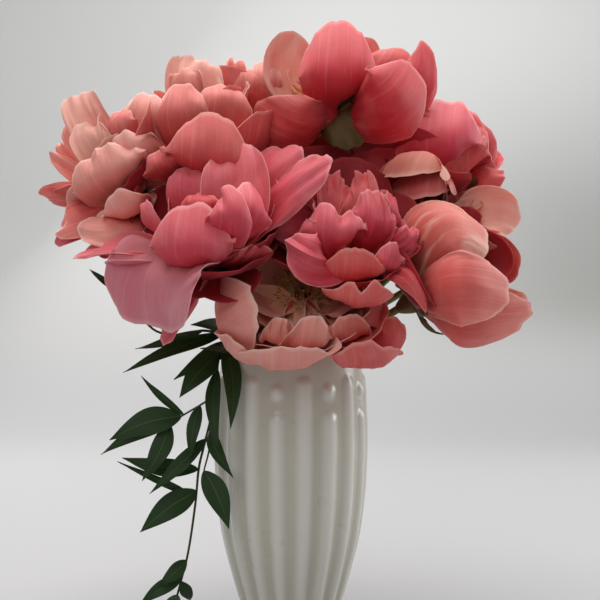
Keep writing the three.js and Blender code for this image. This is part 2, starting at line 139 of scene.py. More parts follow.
class Paint:  # a material, with constants on its shader's own sockets and the rest fed by nodes
    def __init__(self, name, **constants):
        self.material = bpy.data.materials.new(name)
        self.material.use_nodes = True
        self.nodes = self.material.node_tree.nodes
        self.links = self.material.node_tree.links
        self.shader = self.nodes["Principled BSDF"]
        for socket, value in constants.items():
            self.feed(socket.replace("_", " "), value)

    def plug(self, socket, value):
        if isinstance(value, Wire):
            self.links.new(value.socket, socket)
        else:
            socket.default_value = value

    def feed(self, socket, value):
        self.plug(self.shader.inputs[socket], value)

    def node(self, kind, settings=None, sockets=None, output=0):
        made = self.nodes.new("ShaderNode" + kind)
        for key, value in (settings or {}).items():
            setattr(made, key, value)
        for key, value in (sockets or {}).items():
            self.plug(made.inputs[key], value)
        return Wire(self, made.outputs[output])

    def maths(self, kind, first, second):
        return self.node("Math", {"operation": kind}, {0: first, 1: second})

    def mix(self, share, first, second):
        return self.node("Mix", {"data_type": "RGBA", "clamp_factor": True},
                         {0: share, 6: first, 7: second}, output=2)

    def noise(self, place, scale, detail):
        return self.node("TexNoise", {}, {"Vector": place, "Scale": scale, "Detail": detail})

    def step(self, value, low, high):  # a soft step from 0 at low to 1 at high
        return self.node("MapRange", {"interpolation_type": "SMOOTHSTEP"},
                         {"Value": value, "From Min": low, "From Max": high})

    def stretch(self, across, along, depth=0.0):
        return self.node("CombineXYZ", {}, {0: across, 1: along, 2: depth})

    def bump(self, height, strength, distance):
        self.feed("Normal", self.node("Bump", {}, {"Height": height, "Strength": strength,
                                                   "Distance": distance}))

    def attribute(self, name):
        return self.node("Attribute", {"attribute_name": name}, output=2)

    def objectPlace(self):
        return self.node("TexCoord", output=3)

    def uv(self):
        place = self.node("TexCoord", output=2)
        return [self.node("SeparateXYZ", {}, {0: place}, output=k) for k in (0, 1)]


def shade(red, green, blue):  # a screen colour, 0 to 255, as the linear colour that a shader takes
    return tuple((c / 255 / 12.92) if c <= 10 else ((c / 255 + 0.055) / 1.055) ** 2.4
                 for c in (red, green, blue)) + (1.0,)


# Outside and inside of a petal, its shadowed depth, its thin pale edge and its throat.
petalColours = {
    # painted shade: a dark red paint for the filler petals set in the shadowed gaps between and behind the
    # blooms
    "shadowCrimson": [(160, 34, 48), (166, 42, 50), (116, 14, 22), (186, 70, 74), (160, 70, 56)],
    "deepPink": [(212, 54, 66), (224, 86, 92), (164, 20, 32), (244, 158, 152), (236, 140, 112)],
    "pink": [(220, 72, 90), (230, 96, 108), (170, 24, 38), (248, 178, 176), (238, 156, 130)],
    "coral": [(220, 82, 84), (230, 106, 102), (170, 28, 34), (248, 178, 164), (238, 164, 130)],
    "salmon": [(230, 110, 104), (236, 134, 126), (184, 44, 42), (252, 200, 184), (240, 180, 146)],
    "peach": [(234, 126, 108), (240, 150, 130), (192, 58, 50), (252, 208, 188), (240, 190, 150)],
    "pale": [(238, 146, 134), (242, 168, 152), (208, 78, 72), (254, 218, 204), (242, 200, 164)],
    "mauve": [(202, 96, 118), (206, 112, 128), (172, 56, 74), (236, 180, 184), (222, 166, 140)],
    "striped": [(228, 118, 108), (230, 130, 118), (200, 66, 56), (250, 206, 184), (238, 180, 140)],
}
# Shares say how strongly a mark shows. A "From" pair is where it starts and where it is full, in the noise
# that draws it or along the petal, from 0 at the foot to 1 at the tip, and from 0 at the midrib to 1 aside.
petalFinish = {
    "streaksAcross": 30,
    "boldAcross": 15,         # streaks of the striped paint
    "veinsAcross": 120,
    "streakShare": 0.12,
    "boldShare": 0.6,
    "veinShare": 0.09,
    "streakFrom": (0.52, 0.70),
    "veinFrom": (0.52, 0.36),
    "patchScale": 26.0,
    "cloud": 0.26,            # pale patches
    "cloudFrom": (0.5, 0.8),
    "blotch": 0.34,           # dark ones
    "blotchFrom": (0.52, 0.28),
    "deepFoot": 0.8,          # outside, towards the foot: partly the petal's own deeper colour, partly painted shade
    "throat": 0.9,            # inside
    "paleTip": 0.16,
    "tipFrom": (0.45, 1.0),
    "paleSides": 0.24,
    "paleRim": 0.55,
    "sideRimFrom": (0.86, 1.0),
    "tipRimFrom": (0.955, 1.0),
    "roughness": (0.48, 0.2),   # least, and what the patches add
    "relief": (0.5, 0.0009),    # strength and height in metres
}


def petalPaint(name, colours):
    look = petalFinish
    outside, inside, deep, pale, throat = [shade(*colour) for colour in colours]
    paint = Paint("petal_" + name, Subsurface_Weight=0.2, Subsurface_Radius=(0.9, 0.32, 0.25),
                  Subsurface_Scale=0.003, Sheen_Weight=0.04, Sheen_Roughness=0.45, Specular_IOR_Level=0.26)
    u, v = paint.uv()
    side = paint.attribute("side")
    aside = abs(u * 2 - 1)
    patches = paint.noise(paint.objectPlace(), look["patchScale"], 3.0)
    kind = "bold" if name == "striped" else "streak"
    across = look["boldAcross"] if name == "striped" else look["streaksAcross"]
    streaks = paint.noise(paint.stretch(u * across, v * 1.6, side * 5), 1.0, 3.0)
    veins = paint.noise(paint.stretch(u * look["veinsAcross"], v * 3.2, side * 3), 1.0, 2.0)
    colour = paint.mix(side, outside, inside)
    # the outside darkens towards its foot: partly its own colour, partly painted shade
    colour = paint.mix((1 - v) ** 1.5 * (1 - side) * look["deepFoot"], colour, deep)
    colour = paint.mix((1 - v) ** 2.6 * side * look["throat"], colour, throat)
    colour = paint.mix(paint.step(patches, *look["cloudFrom"]) * look["cloud"], colour, pale)
    colour = paint.mix(paint.step(patches, *look["blotchFrom"]) * look["blotch"], colour, deep)
    colour = paint.mix(paint.step(v, *look["tipFrom"]) * look["paleTip"], colour, pale)
    colour = paint.mix(aside ** 3.0 * look["paleSides"], colour, pale)
    colour = paint.mix(paint.step(streaks, *look["streakFrom"]) * look[kind + "Share"], colour, pale)
    colour = paint.mix(paint.step(veins, *look["veinFrom"]) * look["veinShare"], colour, deep)
    rim = paint.step(aside, *look["sideRimFrom"]) + paint.step(v, *look["tipRimFrom"])
    colour = paint.mix(rim * look["paleRim"], colour, pale)
    paint.feed("Base Color", colour)
    least, more = look["roughness"]
    paint.feed("Roughness", least + more * patches)
    paint.bump(streaks * 0.75 + veins * 0.25, *look["relief"])
    return paint.material


leafFinish = {
    "dark": (14, 34, 12),
    "light": (32, 60, 24),
    "underside": (60, 84, 48),
    "undersideShare": 0.35,
    "vein": (56, 86, 40),
    "veinsAcross": 36,
    "veinShare": 0.3,
    "midrib": (84, 110, 56),
    "midribShare": 0.6,
    "midribWidth": 0.07,       # in shares of the leaf's half width
    "patchScale": 60.0,
    "roughness": (0.32, 0.2),
    "relief": (0.5, 0.0006),
}


def leafPaint():
    look = leafFinish
    paint = Paint("ruscusLeaf", Specular_IOR_Level=0.22, Subsurface_Weight=0.1,
                  Subsurface_Radius=(0.4, 0.8, 0.2), Subsurface_Scale=0.002)
    u, v = paint.uv()
    aside = abs(u * 2 - 1)
    patches = paint.noise(paint.objectPlace(), look["patchScale"], 3.0)
    veins = paint.noise(paint.stretch(u * look["veinsAcross"], v * 1.4), 1.0, 2.0)
    colour = paint.mix(patches, shade(*look["dark"]), shade(*look["light"]))
    colour = paint.mix(paint.attribute("side") * look["undersideShare"], colour, shade(*look["underside"]))
    colour = paint.mix(paint.step(veins, 0.5, 0.68) * look["veinShare"], colour, shade(*look["vein"]))
    midrib = paint.step(aside, look["midribWidth"], 0.0)
    colour = paint.mix(midrib * look["midribShare"], colour, shade(*look["midrib"]))
    paint.feed("Base Color", colour)
    least, more = look["roughness"]
    paint.feed("Roughness", least + more * patches)
    paint.bump(veins, *look["relief"])
    return paint.material


stemFinish = {
    "patchScale": 90.0,
    "speckScale": 420.0,
    "speck": (120, 66, 50),
    "speckShare": 0.35,
    "speckFrom": (0.6, 0.72),
    "roughness": (0.45, 0.2),
    "relief": (0.3, 0.0004),
}


def stemPaint(name, low, high):
    look = stemFinish
    paint = Paint(name, Specular_IOR_Level=0.25)
    patches = paint.noise(paint.objectPlace(), look["patchScale"], 4.0)
    specks = paint.noise(paint.objectPlace(), look["speckScale"], 2.0)
    colour = paint.mix(patches, shade(*low), shade(*high))
    shown = paint.step(specks, *look["speckFrom"]) * look["speckShare"]
    paint.feed("Base Color", paint.mix(shown, colour, shade(*look["speck"])))
    least, more = look["roughness"]
    paint.feed("Roughness", least + more * patches)
    paint.bump(specks, *look["relief"])
    return paint.material


threadFinish = {
    "foot": (232, 168, 110),
    "thread": (238, 188, 84),
    "anther": (214, 146, 44),
    "antherFrom": (0.62, 0.7),   # in shares of the height
    "brown": (128, 62, 30),
    "brownShare": 0.7,
    "grainScale": 700.0,
    "relief": (0.4, 0.0003),
}


def threadPaint():  # stamens: pale threads under golden anthers that brown in specks
    look = threadFinish
    paint = Paint("stamenThreads", Roughness=0.7)
    v = paint.uv()[1]
    grains = paint.noise(paint.objectPlace(), look["grainScale"], 2.0)
    colour = paint.mix(paint.step(v, 0.0, 0.5), shade(*look["foot"]), shade(*look["thread"]))
    colour = paint.mix(paint.step(v, *look["antherFrom"]), colour, shade(*look["anther"]))
    colour = paint.mix(paint.step(grains, 0.5, 0.62) * look["brownShare"], colour, shade(*look["brown"]))
    paint.feed("Base Color", colour)
    paint.bump(grains, *look["relief"])
    return paint.material


glazeFinish = {
    "dark": (190, 185, 168),
    "light": (202, 198, 184),
    "rib": (224, 222, 212),      # painted highlight: whiter over the ribs
    "cloudScale": 14.0,
    "pit": (190, 180, 162),
    "pitScale": 240.0,
    "pitShare": 0.12,
    "pitFrom": (0.68, 0.78),
    "peelScale": 70.0,           # the glaze's own slow waves
    "roughness": (0.2, 0.2),
    "relief": (0.25, 0.0012),
}


def glazePaint():
    look = glazeFinish
    paint = Paint("whiteGlaze", Coat_Weight=0.4, Coat_Roughness=0.12, Specular_IOR_Level=0.5)
    place = paint.objectPlace()
    clouds = paint.noise(place, look["cloudScale"], 3.0)
    pits = paint.noise(place, look["pitScale"], 3.0)
    peel = paint.noise(place, look["peelScale"], 2.0)
    colour = paint.mix(clouds, shade(*look["dark"]), shade(*look["light"]))
    # painted highlight along each rib, led by the ridge attribute
    colour = paint.mix(paint.attribute("ridge"), colour, shade(*look["rib"]))
    colour = paint.mix(paint.step(pits, *look["pitFrom"]) * look["pitShare"], colour, shade(*look["pit"]))
    paint.feed("Base Color", colour)
    least, more = look["roughness"]
    paint.feed("Roughness", least + more * clouds)
    paint.bump(peel + 0.2 * pits, *look["relief"])
    return paint.material


def floorPaint():
    paint = Paint("studioFloor", Roughness=0.85)
    place = paint.objectPlace()
    aside, height = [paint.node("SeparateXYZ", {}, {0: place}, output=k) for k in (0, 2)]
    clouds = paint.noise(place, studio["cloudScale"], 2.0)
    # painted shadow: darker low on the wall, growing from left to right
    paintedShadow = (1 - paint.step(height, *studio["shadowFade"])) * paint.step(height, *studio["shadowRise"])
    left = studio["shadowLeft"]
    paintedShadow = paintedShadow * (left + (1 - left) * paint.step(aside, *studio["shadowAside"]))
    colour = paint.mix(paint.step(height, *studio["wallFrom"]), studio["floorShade"], studio["wallShade"])
    colour = paint.mix(paintedShadow, colour, studio["wallPaintedShadow"])
    paint.feed("Base Color", paint.mix(clouds * studio["clouds"], colour, (1, 1, 1, 1)))
    return paint.material


paints = {"petal_" + name: petalPaint(name, colours) for name, colours in petalColours.items()}
paints["leaf"] = leafPaint()
paints["stem"] = stemPaint("flowerStem", (92, 104, 50), (128, 136, 78))
paints["calyx"] = stemPaint("calyxGreen", (78, 62, 34), (108, 84, 46))
paints["sprayStem"] = stemPaint("sprayStem", (40, 46, 26), (70, 76, 40))
paints["carpel"] = stemPaint("carpelGreen", (120, 130, 70), (190, 90, 90))
paints["threads"] = threadPaint()
paints["glaze"] = glazePaint()
paints["floor"] = floorPaint()
print("paints mixed:", len(paints))


def addSheet(name, columns, rows):  # a flat grid, -1 to 1 both ways, with its UV map
    bpy.ops.object.select_all(action="DESELECT")
    bpy.ops.mesh.primitive_grid_add(x_subdivisions=columns, y_subdivisions=rows, size=2)
    piece = bpy.context.object
    piece.name = name
    piece.data.name = name
    return piece


def bendSheet(piece, place):  # place(u, v) gives a point for u from -1 to 1 and v from 0 to 1
    for vertex in piece.data.vertices:
        vertex.co = place(vertex.co.x, (vertex.co.y + 1) / 2)


def thicken(piece, thickness):
    # the side that faced up is 0 in the attribute, the other is 1, and the rim lies between
    solidify = piece.modifiers.new("thickness", "SOLIDIFY")
    solidify.thickness = thickness
    solidify.offset = 0
    solidify.material_offset = 1
    solidify.material_offset_rim = 2
    while len(piece.data.materials) < 3:
        piece.data.materials.append(None)
    bpy.ops.object.modifier_apply(modifier="thickness")
    sides = [(0.0, 1.0, 0.5)[face.material_index] for face in piece.data.polygons]
    piece.data.polygons.foreach_set("material_index", [0] * len(sides))
    piece.data.materials.clear()
    piece.data.attributes.new("side", "FLOAT", "FACE").data.foreach_set("value", sides)


def joinPieces(pieces, name):
    bpy.ops.object.select_all(action="DESELECT")
    for piece in pieces:
        piece.select_set(True)
    bpy.context.view_layer.objects.active = pieces[0]
    bpy.ops.object.join()
    pieces[0].name = name
    pieces[0].data.name = name
    pieces[0].select_set(False)
    return pieces[0]


def finishPiece(piece, paint, slot, node, angle=50):
    piece.data.materials.clear()
    piece.data.materials.append(paints[paint])
    bpy.context.view_layer.objects.active = piece
    piece.select_set(True)
    bpy.ops.object.shade_smooth_by_angle(angle=math.radians(angle))
    piece.select_set(False)
    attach(piece, "root")
    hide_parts(node)


def smoothLine(points, steps):  # a curve through the points, as a list of closer points
    ends = [2 * points[0] - points[1], *points, 2 * points[-1] - points[-2]]
    line = [points[0]]
    for a, b, c, d in zip(ends, ends[1:], ends[2:], ends[3:]):
        for k in range(1, steps + 1):
            t = k / steps
            line.append(0.5 * (2 * b + (c - a) * t + (2 * a - 5 * b + 4 * c - d) * t ** 2
                               + (3 * b - a - 3 * c + d) * t ** 3))
    return line


def alongLine(line, share):  # the point a share of the way along a line
    lengths = [0.0]
    for a, b in zip(line, line[1:]):
        lengths.append(lengths[-1] + (b - a).length)
    wanted = share * lengths[-1]
    for k in range(1, len(line)):
        if lengths[k] >= wanted:
            part = (wanted - lengths[k - 1]) / (lengths[k] - lengths[k - 1])
            return line[k - 1].lerp(line[k], part)
    return line[-1]


def addTube(name, line, radiusAt, sides):  # a capped tube along a line of points
    piece = addSheet(name, sides, len(line) + 1)
    turned = Vector((1, 0, 0))
    rings = []
    for k, point in enumerate(line):
        ahead = (line[min(k + 1, len(line) - 1)] - line[max(k - 1, 0)]).normalized()
        turned = (turned - ahead * turned.dot(ahead)).normalized()
        rings.append((point, turned.copy(), ahead.cross(turned), radiusAt(k / (len(line) - 1))))
    last = len(line) + 1

    def place(u, v):
        row = round(v * last)
        point, one, two, radius = rings[min(max(row - 1, 0), len(rings) - 1)]
        angle = u * math.pi
        if row in (0, last):
            radius = 0
        return point + radius * (one * math.cos(angle) + two * math.sin(angle))

    bendSheet(piece, place)
    weld(piece)
    return piece


def weld(piece):  # joins the seam and the poles and turns every face outwards
    bpy.context.view_layer.objects.active = piece
    bpy.ops.object.mode_set(mode="EDIT")
    bpy.ops.mesh.select_all(action="SELECT")
    bpy.ops.mesh.remove_doubles(threshold=0.00002)
    bpy.ops.mesh.normals_make_consistent(inside=False)
    bpy.ops.object.mode_set(mode="OBJECT")


def smoothStep(value, low, high):
    t = min(max((value - low) / (high - low), 0), 1)
    return t * t * (3 - 2 * t)


# Long ribs run up to the rim's band. Between them, short ribs end under a bead.
vase = {
    "columns": 288,
    "wall": 0.004,
    "floor": 0.009,
    "ribs": 18,
    "ribDepth": 0.0032,
    "ribHalfWidth": 0.40,     # in shares of the spacing
    "ribPower": 1.3,          # more makes a sharper rib
    "ribFoot": (0.012, 0.034),
    "longRibTop": 0.230,
    "shortRibTop": 0.201,
    "beadCentre": 0.2155,
    "beadHalfHeight": 0.0085,
    "beadNarrowing": 1.15,
    "roundedEnd": 0.009,
    "footBevel": [(0.0015, 0), (0.0004, 0.0005)],   # inwards and up from the outline's foot
    "insideStops": 1.8,       # the inner wall ends this high, in thicknesses of the floor
    "cornerRise": 1.15,       # and the inner corner lies here
    "lipSteps": 10,
    "curveSteps": 14,
    "outline": [(0.034, 0), (0.038, 0.012), (0.042, 0.028), (0.050, 0.056), (0.057, 0.084), (0.062, 0.118),
                (0.064, 0.150), (0.0645, 0.172), (0.0635, 0.205), (0.062, 0.232), (0.060, 0.253)],
}


def ribHeight(angle, height):
    spacing = angle / (2 * math.pi) * vase["ribs"] + 0.5
    rib = round(spacing)
    aside = (spacing - rib) / vase["ribHalfWidth"]
    top = vase["longRibTop"] if rib % 2 else vase["shortRibTop"]
    above = max(height - (top - vase["roundedEnd"]), 0) / vase["roundedEnd"]
    reach = math.hypot(aside, above)
    if not rib % 2:
        bead = math.hypot(aside * vase["beadNarrowing"],
                          (height - vase["beadCentre"]) / vase["beadHalfHeight"])
        reach = min(reach, bead)
    bump = math.cos(math.pi / 2 * min(reach, 1)) ** vase["ribPower"]
    return vase["ribDepth"] * bump * smoothStep(height, *vase["ribFoot"])


# Radius and height from the middle of the foot, round the lip, to the middle of the floor inside, and which
# of these rows the ribs run over.
def vaseProfile():
    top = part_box("vase")[1].z
    outline = smoothLine([Vector((r, z, 0)) for r, z in vase["outline"]], vase["curveSteps"])
    wall, floor = vase["wall"], vase["floor"]
    angles = [math.pi * k / vase["lipSteps"] for k in range(vase["lipSteps"] + 1)]
    lip = [Vector((outline[-1].x - wall / 2 * (1 - math.cos(a)), top - wall / 2 * (1 - math.sin(a)), 0))
           for a in angles]
    outside = [p for p in outline if p.y < top - wall / 2]
    lowest = floor * vase["insideStops"]
    inside = [Vector((p.x - wall, p.y, 0)) for p in reversed(outside[::3]) if p.y > lowest]
    base = outline[0].x
    foot = [Vector((0, 0, 0)), Vector((base * 0.5, 0, 0)),
            *[Vector((base - inwards, up, 0)) for inwards, up in vase["footBevel"]]]
    bottom = [Vector((inside[-1].x - wall, floor * vase["cornerRise"], 0)),
              Vector((inside[-1].x * 0.5, floor, 0)), Vector((0, floor, 0))]
    ribbed = range(len(foot), len(foot) + len(outside) - 1)
    return [*foot, *outside[1:], *lip, *inside, *bottom], ribbed


def addVase():
    profile, ribbed = vaseProfile()
    piece = addSheet("fluted_vase", vase["columns"], len(profile) - 1)

    def place(u, v):
        row = round(v * (len(profile) - 1))
        radius, height = profile[row].x, profile[row].y
        angle = u * math.pi
        if row in ribbed:
            radius += ribHeight(angle, height)
        return Vector((radius * math.sin(angle), -radius * math.cos(angle), height))

    bendSheet(piece, place)
    weld(piece)
    ridges = [ribHeight(math.atan2(v.co.x, -v.co.y), v.co.z) / vase["ribDepth"]
              for v in piece.data.vertices]
    piece.data.attributes.new("ridge", "FLOAT", "POINT").data.foreach_set("value", ridges)
    finishPiece(piece, "glaze", "glaze", "vase", angle=60)


petalBlade = {
    "thickness": 0.0005,
    "steps": 48,                  # along its midrib
    "grids": {"fine": (30, 34), "plain": (18, 22), "small": (12, 14)},   # faces across and along
    "rings": {"outer": (0.008, 0.0012), "inner": (0.006, 0.0039)},  # radius and height of the petals' feet
    "nibbles": [(0.024, 4, 3.1, 0), (0.018, 13, 1, 5)],   # of the tip: depth, waves across, seeds
    "cleftWidth": 0.14,
    "creaseWidth": 0.12,
    "waveShares": (0.6, 0.4),     # of the long waves and the short ones along the edge
    "shortWaves": 2.3,            # for each long one
    "sideWaves": 11,              # waves that run up the sides, and their share
    "sideShare": 0.6,
    "tipFrom": 0.75,              # from here on only the tip's own waves are left
    "seedTurns": 2.4,
    # slow hollows, folds and fine crinkles: height, waves across and along, seed
    "hollows": [(0.0040, 1.3, 2.2, 1.7), (0.0017, 4.5, 2.8, 2.3), (0.0006, 11, 1.4, 1.1)],
}


# turn: around the flower, 0 nearest the sky. lean: away from its axis. Both in degrees, lengths in metres.
# bow: how far the length bends inwards. cup: how far the width does. curl: the tip's own bend, inwards.
# edge: how far both sides turn in. ruffle: height of the waves along the edge. notch: a cleft in the tip.
# drop and power: how its corners round off. fullAt: where it is widest. foot: its foot's share of the
# width. crease: a fold along it.
def petal(turn, lean, length, width, bow=40, cup=40, **details):
    plain = {"curl": 0, "edge": 0, "ruffle": 0.0020, "waves": 5, "notch": 0, "notchAt": 0, "drop": 0.5,
             "power": 2.0, "fullAt": 0.6, "foot": 0.15, "crease": 0, "paint": None, "grid": "plain"}
    return {**plain, "turn": turn, "lean": lean, "length": length, "width": width, "bow": bow, "cup": cup,
            "tip": None, **details}


# A petal given by where its middle and its tip lie from the flower's seat, and by the way its back faces.
def swept(middle, tip, faces, width, cup=42, **details):
    shape = {"middle": middle, "tip": tip, "faces": faces, "foot": 0.34, "power": 2.1, "fullAt": 0.55,
             "grid": "fine", **details}
    return petal(0, 0, 0, width, 0, cup, **shape)


def midrib(shape):  # rise, reach and angle at even steps from the foot to the tip
    steps = petalBlade["steps"]
    angles = [math.radians(shape["lean"] + shape["bow"] * (0.5 - k / steps)
                           - shape["curl"] * max(0, (k / steps - 0.7) / 0.3) ** 1.4)
              for k in range(steps + 1)]
    points = [(0.0, 0.0)]
    for one, two in zip(angles, angles[1:]):
        middle = (one + two) / 2
        points.append((points[-1][0] + math.cos(middle), points[-1][1] + math.sin(middle)))
    rise, reach = points[-1]
    scale = shape["length"] / math.hypot(rise, reach)
    turned = math.radians(shape["lean"]) - math.atan2(reach, rise)
    cosine, sine = math.cos(turned) * scale, math.sin(turned) * scale
    return [(r * cosine - q * sine, r * sine + q * cosine, angle + turned)
            for (r, q), angle in zip(points, angles)]


def petalLine(shape, ring, turned):  # the midrib as points, each with its way across and its way inwards
    footRadius, footHeight = petalBlade["rings"][ring]
    axis = Vector((0, 0, 1))
    if not shape["tip"]:
        turn = math.radians(shape["turn"])
        outward = Vector((math.sin(turn), math.cos(turn), 0))
        foot = outward * footRadius + axis * footHeight
        across = axis.cross(outward)
        return [(foot + axis * rise + outward * reach, across,
                 axis * math.sin(angle) - outward * math.cos(angle))
                for rise, reach, angle in midrib(shape)]
    middle, tip, faces = (turned.transposed() @ Vector(shape[key]) for key in ("middle", "tip", "faces"))
    foot = Vector((middle.x, middle.y, 0)).normalized() * footRadius + axis * footHeight
    pull = 2 * middle - (foot + tip) / 2
    line = []
    for k in range(petalBlade["steps"] + 1):
        s = k / petalBlade["steps"]
        point = (1 - s) ** 2 * foot + 2 * s * (1 - s) * pull + s * s * tip
        along = ((1 - s) * (pull - foot) + s * (tip - pull)).normalized()
        across = along.cross(faces).normalized()
        line.append((point, across, along.cross(across)))
    return line


def petalSurface(shape, ring, seed, turned=None):
    line = petalLine(shape, ring, turned)
    last = len(line) - 1
    blade = petalBlade
    phase = seed * blade["seedTurns"]

    def tipAt(u):  # how far the petal reaches, in shares of its length
        rounded = (1 - abs(u) ** shape["power"]) ** (1 / shape["power"])
        cleft = shape["notch"] * math.exp(-((u - shape["notchAt"]) / blade["cleftWidth"]) ** 2)
        nibbled = sum(depth * noise.noise(Vector((u * waves, seed * seedShare, layer)))
                      for depth, waves, seedShare, layer in blade["nibbles"])
        return 1 - shape["drop"] * (1 - rounded) - cleft + nibbled

    def waveAt(u, v):  # along the sides and over the tip
        longShare, shortShare = blade["waveShares"]
        wave = math.sin(u * shape["waves"] + phase) * longShare
        wave += math.sin(u * shape["waves"] * blade["shortWaves"] + v * 5 + phase * 2) * shortShare
        if v > blade["tipFrom"]:
            return wave
        sideWave = math.sin(v * blade["sideWaves"] + phase + u * 2)
        return wave * (1 - blade["sideShare"]) + sideWave * blade["sideShare"]

    def place(u, v):
        u = math.sin(u * math.pi / 2)  # columns lie closer together towards both edges
        q = min(v * tipAt(u), 1)
        k = min(int(q * last), last - 1)
        part = q * last - k
        point, across, inward = (a + (b - a) * part for a, b in zip(line[k], line[k + 1]))
        spread = shape["foot"] + (1 - shape["foot"]) * math.sin(min(q / shape["fullAt"], 1) * math.pi / 2)
        halfWidth = shape["width"] / 2 * spread
        cup = math.radians(shape["cup"]) * spread + 0.001
        side = halfWidth / cup * math.sin(cup * u)
        lift = halfWidth / cup * (1 - math.cos(cup * u))
        lift += shape["edge"] * abs(u) ** 4 * spread
        lift -= shape["crease"] * math.exp(-(u / blade["creaseWidth"]) ** 2) * smoothStep(q, 0.1, 0.5)
        rim = max(abs(u) ** 4, smoothStep(v, 0.7, 1)) * spread
        lift += shape["ruffle"] * rim * waveAt(u, v)
        for height, wavesAcross, wavesAlong, seedShare in blade["hollows"]:
            spot = Vector((u * wavesAcross, v * wavesAlong, seed * seedShare))
            lift += height * spread * noise.noise(spot)
        return point + across * side + inward * lift

    return place


seat = {"rimWithin": 0.0002, "clearance": 0.0003, "sky": (0, 0.3, 1)}


def flowerPlace(name, faces):  # the matrix from a flower's own frame to the bouquet's, read off its calyx
    axis = Vector(faces).normalized()
    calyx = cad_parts[name + "_calyx"].data
    corners = {tuple(round(c, 5) for c in vertex.co) for vertex in calyx.vertices}
    top = max(Vector(corner).dot(axis) for corner in corners)
    rim = [Vector(corner) for corner in corners if Vector(corner).dot(axis) > top - seat["rimWithin"]]
    centre = sum(rim, Vector()) / len(rim) + axis * seat["clearance"]
    up = Vector(seat["sky"])
    up = (up - axis * up.dot(axis)).normalized()
    right = up.cross(axis)
    turned = Matrix((right, up, axis)).transposed().to_4x4()
    return Matrix.Translation(centre) @ turned


def addPetal(name, matrix, shape, ring, seed):
    piece = addSheet(name, *petalBlade["grids"][shape["grid"]])
    surface = petalSurface(shape, ring, seed, matrix.to_3x3())
    bendSheet(piece, lambda u, v: matrix @ surface(u, v))
    thicken(piece, petalBlade["thickness"])
    return piece


pointed = {"drop": 0.75, "power": 1.3}
